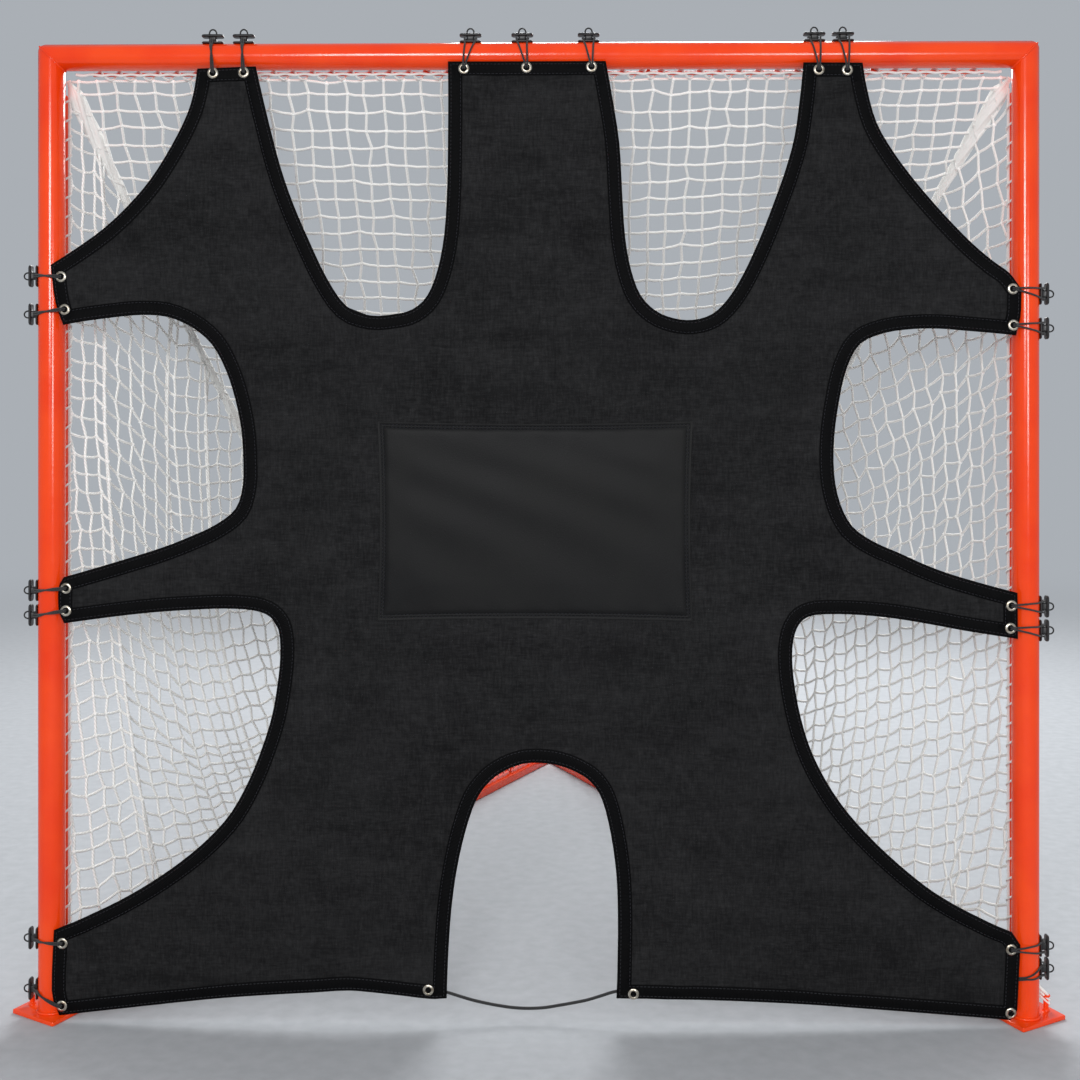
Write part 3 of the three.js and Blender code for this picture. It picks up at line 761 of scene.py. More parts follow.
@dataclass(frozen=True)
class Lines:
    """Where the frame's tubes run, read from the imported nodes."""

    goal: float  # Y of the posts' and the crossbar's axes
    post: float  # X of the right post's axis
    bar: float  # Z of the crossbar's axis
    radius: float
    sole: float  # Z of the posts' lower ends
    depth: float = 2.1336  # from the posts' axes to where the ground bars meet

    @staticmethod
    def read() -> "Lines":
        """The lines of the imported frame, from its nodes' boxes.

        Returns:
            The lines.
        """
        low, high = box("right_post")
        middle = (low + high) / 2
        return Lines(middle[1], middle[0], sum(box("crossbar"))[2] / 2, (high - low)[1] / 2, low[2])

    @property
    def bar_run(self) -> float:
        """Returns the length from a post's axis to where the ground bars' axes meet."""
        return math.hypot(self.post, self.depth)

    @property
    def heading(self) -> tuple[float, float]:
        """Returns a ground bar's direction: its share towards the middle and its share back."""
        return self.post / self.bar_run, self.depth / self.bar_run

    def base(self, side: Side, run: Array, out: Array = 0.0, height: Array = 0.0) -> Array:
        """Points over the base: X = sign (post - run hx + out hy) and Y = goal + run hy + out hx.

        Args:
            side: The side.
            run: Length from the post's axis along the ground bar.
            out: Length outboard of the bar's line.
            height: Height over the ground.

        Returns:
            The points.
        """
        run, out, height = np.broadcast_arrays(run, out, height)
        hx, hy = self.heading
        x = side.value * (self.post - run * hx + out * hy)
        return np.stack([x, self.goal + run * hy + out * hx, height], -1)


Rod = tuple[Array, Array, Array, float]  # start, end, the way to its tube and its feet's reach from its axis


@dataclass
class SteelFrame:
    """Posts, crossbar, foot plates and ground bars, with their welds and lacing rods."""

    lines: Lines
    nip: float = 0.012  # cut off the corners' outer tips
    sides: int = 96
    corner_bead: float = 0.0019
    foot_bead: float = 0.0026
    runner_bead: float = 0.0022
    apex_bead: float = 0.0018
    plate: tuple[float, ...] = (0.046, 0.100, 0.046, 0.072)  # front, back, inner and outer reach
    plate_corner: float = 0.004
    skew: float = 0.016  # of the plate's outer end
    thickness: float = 0.008
    stud: tuple[float, ...] = (0.010, 0.016, 0.030, 0.004)  # shank, head, height and lip
    stud_place: tuple[float, float] = (0.006, 0.056)
    bar_size: tuple[float, float] = (0.050, 0.025)
    bar_nip: float = 0.025
    bar_corner: float = 0.0035
    rod: float = 0.008
    rod_foot: float = 0.0065
    rod_feet: int = 4

    def tip(self, out: Array) -> Array:
        """Returns how far a wall passes a corner: the lower of out and 2 radius - sqrt 2 nip - out."""
        return np.minimum(out, 2 * self.lines.radius - math.sqrt(2) * self.nip - out) - TOUCH / math.sqrt(2)

    def mitred(self, low: float, high: float, both: bool) -> Surface:
        """A closed tube along Z: wall point = (r cos a, r sin a, z), with its ends cut by tip(r cos a).

        Args:
            low: Z of the low end, or of the corner's centre there.
            high: Z of the corner's centre at the high end.
            both: Whether the low end is mitred too.

        Returns:
            The tube.
        """
        angle = circle(self.sides)
        x, y = self.lines.radius * np.cos(angle), self.lines.radius * np.sin(angle)
        share = np.array([0.3, 0.65, 0.9, 0.985])[:, None]
        drop = np.array([0, 0, 0, 0.0003])[:, None]
        ease = 0.0007  # the width of the wall's eased edge
        cut = self.tip if both else np.zeros_like
        start = low - cut(x) + ease
        body = start + (high + self.tip(x) - ease - start) * np.linspace(0, 1, 3)[:, None]
        z = np.concatenate([low - cut(share * x) + drop, body, (high + self.tip(share * x) - drop)[::-1]])
        spread = np.concatenate([share, np.ones((3, 1)), share[::-1]])
        return skin(np.stack([spread * x, spread * y, z], -1), z.mean(1))

    def corner_seam(self) -> Array:
        """The seam about a corner's centre: z = x on the tube's wall, then straight across the nip.

        Returns:
            The seam's points.
        """
        edge = self.lines.radius - self.nip / math.sqrt(2)
        first = math.acos(edge / self.lines.radius)
        angle = np.linspace(first, 2 * np.pi - first, 90)
        wall = self.lines.radius * np.stack([np.cos(angle), np.sin(angle), np.cos(angle)], 1)
        return np.concatenate([wall, np.linspace(wall[-1], wall[0], 24)[1:-1]])

    def build_posts(self) -> None:
        """Makes both posts and the crossbar, and the beads on their seams."""
        lines = self.lines
        for side in Side:
            s = side.value

            def stand(p: Array) -> Array:
                """Turns a tube along Z, whose long side is +X, to stand as this side's post."""
                return np.stack([s * (lines.post + p[:, 0]), lines.goal + s * p[:, 1], p[:, 2]], 1)

            post = self.mitred(lines.sole, lines.bar, False).moved(stand)
            post.piece(f"{side.label}_upright", ENAMEL, Slot.STEEL, f"{side.label}_post")
            seam = stand(self.corner_seam() + (0, 0, lines.bar))
            slant = unit(np.array([s, 0.0, -1.0]))
            weld = beaded(seam, self.corner_bead, slant, True)
            weld.piece(f"{side.label}_corner_weld", ENAMEL, Slot.STEEL, crease=60)
            ring = (lines.radius + 0.0012) * spokes(ACROSS, BACK, circle(80)) + (lines.sole + 0.0016) * UP
            weld = beaded(stand(ring), self.foot_bead, UP, True)
            weld.piece(f"{side.label}_foot_weld", ENAMEL, Slot.STEEL, crease=60)

        def lie(p: Array) -> Array:
            """Turns a tube along Z, whose long side is +X, to lie as the crossbar."""
            return np.stack([p[:, 2] - lines.post, lines.goal - p[:, 1], lines.bar + p[:, 0]], 1)

        self.mitred(0, 2 * lines.post, True).moved(lie).piece("top_bar", ENAMEL, Slot.STEEL, "crossbar")

    def build_foot(self, side: Side) -> None:
        """Makes a foot plate, whose outline has rounded corners and eased edges, and its headed stud.

        Args:
            side: The side.
        """
        front, back, inner, outer = self.plate
        corners = [(-front, -inner), (-front + self.skew, outer), (back, outer), (back, -inner)]
        flat = np.array([self.lines.base(side, run, out)[:2] for run, out in corners])
        flat = flat if headings(flat)[2].sum() > 0 else flat[::-1]
        thick = self.thickness
        grown = (-0.0014, 0.0, 0.0, -0.0004, -0.0014)
        heights = (0.0, 0.0010, thick - 0.0012, thick - 0.0004, thick)
        eased = zip(grown, heights)
        rings = [np.insert(rounded(flat, self.plate_corner, by), 2, z, axis=1) for by, z in eased]
        shank, head, height, lip = self.stud
        top = thick + height
        profile = [
            (shank / 2 + 0.003, thick - 0.001), (shank / 2 + 0.0024, thick + 0.0012),
            (shank / 2, thick + 0.0036),
            (shank / 2, top - lip - 0.0008), (head / 2 - 0.0008, top - lip), (head / 2, top - lip + 0.0010),
            (head / 2, top - 0.0012), (head / 2 - 0.0014, top - 0.0002), (head / 4, top),
        ]
        stud = lathe(profile, self.lines.base(side, *self.stud_place))
        foot = Surface.joined([skin(np.stack(rings)), stud])
        foot.piece(f"{side.label}_foot", ENAMEL, Slot.STEEL, f"{side.label}_foot_plate")

    def build_ground_bar(self, side: Side) -> None:
        """Makes a ground bar: a rounded section carried along the base and cut off where the bars meet.

        Args:
            side: The side.
        """
        hx, hy = self.lines.heading
        width, height = self.bar_size
        near = self.plate[1] + TOUCH
        rear = self.lines.depth + self.bar_nip

        def far(out: Array) -> Array:
            """Returns where a line at a distance outboard ends: on the plane X = 0 or at the nipped rear."""
            return np.minimum((self.lines.post - TOUCH / 2 + out * hy) / hx, (rear - out * hx) / hy)

        section = rounded(rectangle(width, height), self.bar_corner)
        small = section * np.array([0.4, 0.8, 0.97])[:, None, None]
        walls = near + (far(section[:, 0]) - near) * np.linspace(0, 1, 9)[:, None]
        runs = np.concatenate([np.full(small.shape[:2], near), walls, far(small[::-1, :, 0])])
        flat = np.concatenate([small, np.repeat(section[None], 9, 0), small[::-1]])
        if side is Side.LEFT:
            flat, runs = flat[:, ::-1], runs[:, ::-1]
        bar = skin(self.lines.base(side, runs, flat[..., 0], flat[..., 1] + height / 2), runs.mean(1))
        bar.piece(f"{side.label}_runner", ENAMEL, Slot.STEEL, f"{side.label}_ground_bar")
        half = width / 2 - self.bar_corner
        joint = self.lines.base(side, near - 0.0002, np.linspace(-half, half, 60), self.thickness + 0.0012)
        weld = beaded(joint, self.runner_bead, UP, False)
        weld.piece(f"{side.label}_runner_weld", ENAMEL, Slot.STEEL, crease=60)

    def build_apex_weld(self) -> None:
        """Makes the bead where the ground bars meet, up its inner end, along its top and down its rear."""
        width, height = self.bar_size
        inner = self.lines.goal + self.lines.depth - width / 2 / self.lines.heading[0]
        rear = self.lines.goal + self.lines.depth + self.bar_nip
        corners = np.array([[0, inner, 0.004], [0, inner, height], [0, rear, height], [0, rear, 0.004]])
        stretches = [np.linspace(a, b, 70, endpoint=False) for a, b in zip(corners[:-1], corners[1:])]
        weld = beaded(np.concatenate(stretches), self.apex_bead, ACROSS, False)
        weld.piece("apex_weld", ENAMEL, Slot.STEEL, crease=60)

    def build_rod(self, name: str, rod: Rod) -> None:
        """Makes a lacing rod: a round bar with domed ends and short feet, each with a bead at both ends.

        Args:
            name: The node that it replaces.
            rod: The rod's line.
        """
        start, end, towards, reach = rod
        radius, foot = self.rod / 2, self.rod_foot / 2
        long = np.linalg.norm(end - start)
        ease = np.array([0.0, 0.25, 0.6, 0.9, 1.0])
        run = np.concatenate([ease * radius, np.linspace(0.02, 0.98, 5) * long, long - ease[::-1] * radius])
        dome = np.sqrt(1 - (1 - ease) ** 2).clip(0.12)
        radii = radius * np.concatenate([dome, np.ones(5), dome[::-1]])
        parts = [tube(start + run[:, None] * unit(end - start), radii, 16, towards)]
        grown = np.array([(0.0, 0.0), (0.0, -0.0032), (0.0012, -0.0016), (0.0018, -0.0003)])
        swollen = np.array([(0.0, -radius), (0.0014, -0.0014), (0.001, 0.001), (0.0, 0.0026)])
        profile, collar = grown + np.array([[foot, 0.0], *[[foot, reach]] * 3]), swollen + (foot, radius)
        for share in (np.arange(self.rod_feet) + 0.5) / self.rod_feet:
            parts += [lathe(shape, start + (end - start) * share, towards, 16) for shape in (profile, collar)]
        Surface.joined(parts).piece(name.replace("lacing_rod", "net_rod"), ENAMEL, Slot.STEEL, name)

    def build(self) -> None:
        """Makes the whole frame."""
        self.build_posts()
        for side in Side:
            self.build_foot(side)
            self.build_ground_bar(side)
        self.build_apex_weld()
        rods = NetRods(self.lines)
        self.build_rod("crossbar_lacing_rod", rods.crossbar())
        for side in Side:
            self.build_rod(f"{side.label}_post_lacing_rod", rods.post(side))
            self.build_rod(f"{side.label}_bar_lacing_rod", rods.ground_bar(side))


@dataclass(frozen=True)
class NetRods:
    """The lines of the rods that the net is laced to."""

    lines: Lines
    standoff: float = 0.008
    rod: float = 0.008
    bar_height: float = 0.025
    ends: tuple[float, float] = (0.145, 0.045)  # from a ground bar's ends to its rod's
    reach: float = field(init=False, default=0.008 + 0.004 - TOUCH)

    def crossbar(self) -> Rod:
        """The rod behind and below the crossbar.

        Returns:
            The rod.
        """
        low, high = box("crossbar_lacing_rod")
        slope = math.sqrt(0.5)
        back = (self.lines.radius + self.standoff + self.rod / 2) * slope
        start = np.array([low[0], self.lines.goal + back, self.lines.bar - back])
        return start, start + (high[0] - low[0], 0, 0), np.array([0, -slope, slope]), self.reach

    def post(self, side: Side) -> Rod:
        """The rod behind a post, in line with the ground bar.

        Args:
            side: The side.

        Returns:
            The rod.
        """
        low, high = box(f"{side.label}_post_lacing_rod")
        hx, hy = self.lines.heading
        start = self.lines.base(side, self.lines.radius + self.standoff + self.rod / 2, 0.0, low[2])
        return start, start + (0, 0, high[2] - low[2]), np.array([side.value * hx, -hy, 0]), self.reach

    def ground_bar(self, side: Side) -> Rod:
        """The rod over a ground bar.

        Args:
            side: The side.

        Returns:
            The rod.
        """
        height = self.bar_height + self.standoff + self.rod / 2
        near, far = self.ends
        start = self.lines.base(side, near, 0.0, height)
        return start, self.lines.base(side, self.lines.bar_run - far, 0.0, height), -UP, self.reach


# The net


@dataclass(frozen=True)
class Hang:
    """How the net hangs on one side of the goal."""

    pull: tuple[float, float]  # how far the ridge is drawn inboard and up
    stagger: tuple[float, float]  # how far next knots are drawn apart, across and down
    gathers: tuple[float, ...]  # the runs at which the side net is gathered
    opened: tuple[tuple[int, float, float], ...]  # a gather's number, where it is open and where it starts
    pinches: tuple[tuple[float, ...], ...]  # run, where it is all there, where it ends, strength
    bow: float  # how far the side net hangs out
    slope: float  # a row's drop for its run
    sloped: tuple[float, float]  # the runs between which a row drops
    level: float  # the height over which that drop fades
    lean: float  # back for its drop
    loops: int  # on the foot's stud


HANGS = {
    Side.LEFT: Hang(
        pull=(0.024, 0.0),
        stagger=(0.0034, 0.0036),
        gathers=(0.122, 0.336, 0.436, 0.93, 1.31),
        opened=((1, 0.80, 1.12),),
        pinches=((0.75, 0.1, 0.7, 0.3),),
        bow=0.0,
        slope=0.55,
        sloped=(0.10, 0.36),
        level=0.45,
        lean=0.10,
        loops=2,
    ),
    Side.RIGHT: Hang(
        pull=(0.055, 0.070),
        stagger=(0.0038, 0.0040),
        gathers=(0.98, 1.5),
        opened=(),
        pinches=((0.226, 0.17, 0.62, 0.75), (1.2, 0.05, 0.3, 0.6)),
        bow=0.058,
        slope=0.40,
        sloped=(0.02, 0.95),
        level=0.12,
        lean=0.004,
        loops=3,
    ),
}


@dataclass(frozen=True)
class Drape:
    """The net's hanging shape, as flat places turned to points."""

    lines: Lines
    near: float = 0.0437  # along the ground bar's line to where a ridge starts
    foot: float = 0.060  # the net's height at the point of the base
    rod_back: float = 0.0374 * math.sqrt(0.5)
    seam_share: float = 0.86  # the ridges' sag against the middle's
    clear: float = 0.0076  # from the rod's axis to the net's middle at its head

    @property
    def far(self) -> float:
        """Returns the run to the ridges' lower ends."""
        return self.lines.bar_run - self.foot

    @property
    def fall(self) -> float:
        """Returns the net's slope at its head, as an angle."""
        return math.atan(2 * (self.lines.bar - self.foot) / ((self.far - self.near) * self.lines.heading[1]))

    @property
    def head(self) -> float:
        """Where the ridges start: over the rod's axis by what clears it.

        Returns:
            The height.
        """
        lean = self.near * self.lines.heading[1] - self.rod_back
        over = (self.clear - lean * math.sin(self.fall)) / math.cos(self.fall)
        return self.lines.bar - self.rod_back + over

    def seam_at(self, s: Array) -> Array:
        """Returns the run along the ground bar's line at share s of the way down."""
        return self.near + (self.far - self.near) * s

    def pull(self, x: Array, s: Array) -> list[Array]:
        """How far a ridge is drawn: its pull times the square of sin(pi sqrt s), all of it at a quarter.

        Args:
            x: Anything on the ridge's side of the middle.
            s: The share of the way down.

        Returns:
            How far inboard, and how far up.
        """
        drawn = np.sin(np.pi * np.clip(s, 0, 1) ** 0.5) ** 2
        sides = zip(HANGS[Side.LEFT].pull, HANGS[Side.RIGHT].pull)
        return [np.where(x < 0, left, right) * drawn for left, right in sides]

    def half_width(self, x: Array, s: Array) -> Array:
        """Returns the distance from the middle plane to the ridge on X's side at share s."""
        along, across = self.lines.heading
        return self.lines.post - self.seam_at(s) * along - self.pull(x, s)[0] * across

    def height(self, s: Array, belly: Array = 0.0) -> Array:
        """Height at share s: a straight fall less the parabola 4 sag s (1 - s).

        Args:
            s: The share of the way down.
            belly: 0 at a ridge and 1 in the middle, which sags more.

        Returns:
            The height.
        """
        fullest = (self.head - self.foot) / 4
        sag = fullest * (self.seam_share + (1 - self.seam_share) * belly)
        return self.head - (self.head - self.foot) * s - 4 * sag * s * (1 - s)

    def ridge(self, side: Side, s: Array) -> Array:
        """Returns a ridge's points at shares s."""
        inward, up = self.pull(side.value, s)
        return self.lines.base(side, self.seam_at(s), -inward, self.height(s) + up)

    def back(self, x: Array, s: Array) -> Array:
        """The back net's surface, which meets both ridges.

        Args:
            x: The points' X.
            s: Their share of the way down.

        Returns:
            The points.
        """
        edge = np.clip((x / self.half_width(x, s)) ** 2, 0, 1)
        inward, up = self.pull(x, s)
        along, across = self.lines.heading
        y = self.lines.goal + self.seam_at(s) * across - inward * edge * along
        return np.stack([x, y, self.height(s, 1 - edge) + up * edge], -1)


@dataclass
class KnottedNet:
    """A net of square mesh: a cord along each row and column, and a knot where they cross."""

    mesh: float = 0.0377
    cord: float = 0.0060
    knot: float = 0.0045
    stray: float = 0.0022  # how far a knot lies from its even place
    droop: float = 0.0015  # how far a row's cord hangs between two knots
    shortest: float = 0.004  # a cord that is cut shorter is left out
    stagger: tuple[float, float] = (0.0011, 0.0014)  # how far next knots are drawn apart, across and down
    seed: int = 11

    def strands(
        self,
        u: Array,
        w: Array,
        limits: Sequence[Callable[[Array, Array], Array]],
        place: Callable[[Array, Array], Array],
        calm: Array | float = 1.0,
    ) -> Surface:
        """The cords and knots of a net drawn flat as u across and w down, each cord from a knot to the next
        through a point that droops between them, and cut off at the net's edges.

        Args:
            u: Where the knots lie across, columns by rows.
            w: Where they lie down.
            limits: Functions of u and w, each above 0 outside the net.
            place: Turns u and w to points.
            calm: Each column's share of the net's unevenness.

        Returns:
            The net.
        """
        draw = np.random.default_rng(self.seed)
        stray = draw.normal(0, self.stray, (2, *u.shape)).clip(-2.2 * self.stray, 2.2 * self.stray)
        column, row = (-1.0) ** np.arange(u.shape[0])[:, None], (-1.0) ** np.arange(u.shape[1])
        stray += np.stack([self.stagger[0] * column * row, self.stagger[1] * column + 0 * row])
        knots = np.stack([u + stray[0] * calm, w + stray[1]], -1)
        down = self.between(knots[:, :-1], knots[:, 1:], limits, 0.0)
        across = self.between(knots[:-1], knots[1:], limits, self.droop)
        flat = np.concatenate([down, across])
        cords = bundle(place(flat[..., 0], flat[..., 1]), self.cord / 2)
        inside = np.all([limit(knots[..., 0], knots[..., 1]) <= 0 for limit in limits], axis=0)
        return Surface.joined([cords, self.knots(place(knots[inside, 0], knots[inside, 1]), draw)])

    def between(self, start: Array, end: Array, limits: Sequence[Callable], droop: float) -> Array:
        """Cords between neighbouring knots, cut where a limit passes through 0 on the straight line.

        Args:
            start: The knots that they leave, as u and w.
            end: The knots that they reach.
            limits: Functions of u and w, each above 0 outside the net.
            droop: How far the middle point lies further down.

        Returns:
            Cords by 3 points by u and w.
        """
        start, end = start.reshape(-1, 2), end.reshape(-1, 2)
        first, last = np.zeros(len(start)), np.ones(len(start))
        for limit in limits:
            here, there = limit(start[:, 0], start[:, 1]), limit(end[:, 0], end[:, 1])
            crossing = here / np.where(here == there, 1.0, here - there)
            first = np.where(here > 0, np.where(there > 0, 1.0, np.maximum(first, crossing)), first)
            last = np.where(there > 0, np.where(here > 0, 0.0, np.minimum(last, crossing)), last)
        kept = (last - first) * np.linalg.norm(end - start, axis=1) > self.shortest
        start, step = start[kept], (end - start)[kept]
        first, last = first[kept, None], last[kept, None]
        a, b = start + step * first, start + step * last
        return np.stack([a, (a + b) / 2 + (0, 1) * (droop * (last - first)), b], -2)

    def knots(self, centres: Array, draw: np.random.Generator) -> Surface:
        """Knots: balls of two rings of six, stretched by a tenth or two, each turned its own way.

        Args:
            centres: Their middles.
            draw: Where their turns come from.

        Returns:
            All of them.
        """
        ring = np.stack([np.cos(circle(6)), np.sin(circle(6))], 1) * 0.92
        low, high = (np.column_stack([ring, np.full(6, z)]) for z in (-0.42, 0.42))
        ball = np.concatenate([[[0, 0, -0.86]], low, high, [[0, 0, 0.86]]])
        size = self.knot * draw.uniform(0.85, 1.2, (len(centres), 1, 3))
        turn = draw.uniform(0, 2 * np.pi, (len(centres), 1))
        x, z, y = np.moveaxis(ball * size, -1, 0)
        points = np.stack([x * np.cos(turn) - z * np.sin(turn), y, x * np.sin(turn) + z * np.cos(turn)], -1)
        j, k = np.arange(6), (np.arange(6) + 1) % 6
        belt = [(1 + j, 7 + k, 1 + k), (1 + j, 7 + j, 7 + k)]
        tris = [np.stack(fan, 1) for fan in ((0 * j, 1 + j, 1 + k), *belt, (13 + 0 * j, 7 + k, 7 + j))]
        one = Surface(ball, np.zeros((0, 4), int), np.zeros((0, 4, 2)), np.concatenate(tris))
        return one.repeated(centres[:, None] + points)


@dataclass
class Netting:
    """The back net, the side nets, the gathered ridges between them and the cord that laces them on."""

    lines: Lines
    drape: Drape
    weave: KnottedNet = field(default_factory=KnottedNet)
    fold: float = 0.0115  # between a gather's lines
    fold_depth: float = 0.014
    first_row: float = 0.0265  # from the ridges' upper ends to the first whole row
    inset: float = 0.0073  # from the ridges to the back net's last cords
    head_cord: tuple[float, float] = (0.0190, 0.0285)  # behind the goal line and below the crossbar
    wave: float = 0.0012  # how far a border cord is drawn up and down from mesh to mesh
    low: float = 0.047  # a side net's lower edge
    front: float = 0.046  # a side net's front edge, as a run
    rear: float = 2.186
    ridge_strands: int = 5
    border: float = 0.0028  # the radius of the cord along a net's free edges
    lace: float = 0.0021  # the lacing cord's radius
    stud: tuple[float, float, float] = (0.006, 0.056, 0.026)  # run, out and height of the foot's stud
    corner: tuple[float, float, float] = (0.047, 0.002, 0.088)  # and of the net's corner over it

    def build_back(self) -> None:
        """Makes the back net: columns of one X each, and rows an even length apart down its middle."""
        drape, mesh = self.drape, self.weave.mesh
        s = np.linspace(0, 1, 900)
        down = lengths(drape.back(0 * s, s))
        rows = self.first_row + np.arange(int(down[-1] / mesh)) * mesh
        half = math.ceil(self.lines.post / mesh)
        u, w = np.meshgrid(np.arange(-half, half + 1) * mesh, np.append(0.0, rows), indexing="ij")

        def wide(x: Array, along: Array) -> Array:
            """Returns how far a place lies outside the ridges."""
            return np.abs(x) - (drape.half_width(x, np.interp(along, down, s)) - self.inset)

        def place(x: Array, along: Array) -> Array:
            """Turns X and a length down the net's middle to a point."""
            return drape.back(x, np.interp(along, down, s))

        limits = (wide, lambda x, along: along - down[-1], lambda x, along: -along - 0.006)
        flat = self.weave.strands(u, w, limits, place)
        low, high = box("crossbar_lacing_rod")
        x = np.linspace(low[0] - 0.03, high[0] + 0.03, 420)
        behind, below = self.head_cord
        z = self.lines.bar - below + self.wave * np.cos(2 * np.pi * x / mesh)
        head = np.stack([x, 0 * x + (self.lines.goal + behind), z], 1)
        net = Surface.joined([flat, tube(head, self.border, 6, UP)])
        net.piece("back_netting", NET_CORD, Slot.NET, "back_net", crease=80)

    def side_columns(self, side: Side) -> tuple[Array, Array, Array]:
        """Where a side net's upright lines run: three close together at each gather, and even steps between.

        Args:
            side: The side.

        Returns:
            Each line's run along the ground bar's line, how far it is folded outboard, and its share of the
            net's unevenness.
        """
        stops = (0.047, *HANGS[side].gathers, 2.19)
        last_stop = len(stops) - 2
        runs = list(stops[0] - np.arange(5, 0, -1) * self.weave.mesh)  # these lean into the net lower down
        folds, calm = [0.0] * 5, [1.0] * 5
        for i, (a, b) in enumerate(zip(stops[:-1], stops[1:])):
            first = a + (self.fold if i else 0)
            last = b - (self.fold if i < last_stop else 0)
            steps = max(1, round((last - first) / self.weave.mesh))
            runs += list(np.linspace(first, last, steps + 1))
            folds += [0.0] * (steps + 1)
            calm += [0.2 if i else 1.0, *[1.0] * (steps - 1), 0.2]
            if i < last_stop:
                runs.append(b)
                folds.append(self.fold_depth * (1 if i % 2 else -1))
                calm.append(0.2)
        return np.array(runs), np.array(folds), np.array(calm)

    def leaning(self, side: Side, run: Array, height: Array) -> Array:
        """How far back a side net's upright lines have leaned: more with depth, and more further back.

        Args:
            side: The side.
            run: The run along the ground bar's line.
            height: The height.

        Returns:
            The distance along the run.
        """
        further = np.clip((run + 0.05) / 0.6, 0, 1)
        lean = np.clip(1.15 - height, 0, None) + 5.5 * further * np.clip(0.85 - height, 0, 0.66) ** 2
        return HANGS[side].lean * lean * np.clip((2.1 - run) / 0.8, 0, 1)

    def side_knots(self, side: Side, runs: Array) -> tuple[Array, Array]:
        """Where a side net's knots lie. Its rows slope down towards the back and level off near the ground,
        its gathers lean back as they fall, and its pinches draw it together low down.

        Args:
            side: The side.
            runs: Its upright lines' runs at the head.

        Returns:
            Their runs and their heights, columns by rows.
        """
        mesh, hang = self.weave.mesh, HANGS[side]
        rows = np.arange(self.low - mesh / 2, self.drape.head + 0.9, mesh)[::-1]
        u, height = np.meshgrid(runs, rows, indexing="ij")
        start, end = hang.sloped
        fade = np.clip((height - 0.1) / hang.level, 0, 1) ** 1.5
        height = height - hang.slope * np.clip(u - start, 0, end - start) * fade
        for number, low, high in hang.opened:
            among = np.flatnonzero((runs > hang.gathers[number - 1]) & (runs < hang.gathers[number + 1]))
            even = np.linspace(runs[among[0]], runs[among[-1]], len(among))[:, None]
            u[among] += np.clip((high - height[among]) / (high - low), 0, 1) * (even - u[among])
        for at, low, high, strength in hang.pinches:
            drawn = np.clip((high - height) / (high - low), 0, 1) ** 1.6
            u = u + drawn * strength * (at - u) * np.exp(-(((u - at) / 0.085) ** 2))
        return u + self.leaning(side, u, height), height

    def build_side(self, side: Side) -> None:
        """Makes a side net over the ground bar.

        Args:
            side: The side.
        """
        drape, mesh, turned_by = self.drape, self.weave.mesh, 1.3 * side.value
        runs, folds, calm = self.side_columns(side)
        share = np.linspace(-0.05, 1, 800)
        inward, raised = drape.pull(side.value, share)
        ridge = drape.height(share) + raised - 0.007 / math.cos(drape.fall)
        weave = KnottedNet(seed=self.weave.seed + side.value, stagger=HANGS[side].stagger)
        u, height = self.side_knots(side, runs)

        def over(run: Array, down: Array) -> Array:
            """Returns how far a place lies over the ridge."""
            return drape.head - down - np.interp(run, drape.seam_at(share), ridge)

        def place(run: Array, down: Array) -> Array:
            """Places the net: folded outboard, bowed, drawn in under its ridge and swaying a little.

            Args:
                run: The run along the ground bar's line.
                down: The depth below the head.

            Returns:
                The points.
            """
            up = drape.head - down
            tip = np.clip((run - 0.045) / 0.06, 0, 1) * np.clip((up - self.low) / 0.3, 0.2, 1)
            under = -over(run, down)
            edge = np.clip(under / 0.12, 0, 1)
            upright = run
            for _ in range(5):
                upright = run - self.leaning(side, upright, up)
            out = np.interp(upright, runs, folds) * tip * edge
            hang = np.sin(np.pi * np.clip(run / 1.6, 0, 1) ** 0.42) * np.clip((up - self.low) / 0.45, 0, 1)
            out = out + HANGS[side].bow * hang * np.clip(under / 0.3, 0, 1)
            pulled = np.interp(run, drape.seam_at(share), inward) * np.clip(up / (up + under), 0, 1) ** 1.5
            sway = 0.008 * np.sin(run / 0.17 + turned_by) * np.sin(up / 0.35 + turned_by)
            return self.lines.base(side, run, out + sway * tip * edge - pulled, up)

        limits = (
            over,
            lambda run, down: self.front - run,
            lambda run, down: run - self.rear,
            lambda run, down: down - (drape.head - self.low),
        )
        flat = weave.strands(u, drape.head - height, limits, place, calm[:, None])
        hem = self.lines.base(side, self.front + 0.0015, 0.0, np.linspace(self.low, drape.head - 0.02, 200))
        run = np.linspace(self.front + 0.0015, self.rear, 300)
        foot = self.lines.base(side, run, 0.0, self.low + self.wave * np.cos(2 * np.pi * run / mesh))
        net = Surface.joined([flat, tube(hem, self.border, 6, BACK), tube(foot, self.border, 6, UP)])
        net.piece(f"{side.label}_side_netting", NET_CORD, Slot.NET, f"{side.label}_side_net", crease=80)

    def build_ridge(self, side: Side) -> None:
        """Makes a ridge: gathered strands twisted round a core, and a lacing cord wound round them.

        Args:
            side: The side.
        """
        line = self.drape.ridge(side, np.linspace(0, 1, 720))
        along = lengths(line)
        tangent = unit(np.gradient(line, axis=0))
        across = unit(np.cross(tangent, UP))
        other = np.cross(tangent, across)

        def wound(reach: Array, turn: Array) -> Array:
            """Returns the line moved out by a reach at an angle round it."""
            return line + reach[:, None] * (np.cos(turn)[:, None] * across + np.sin(turn)[:, None] * other)

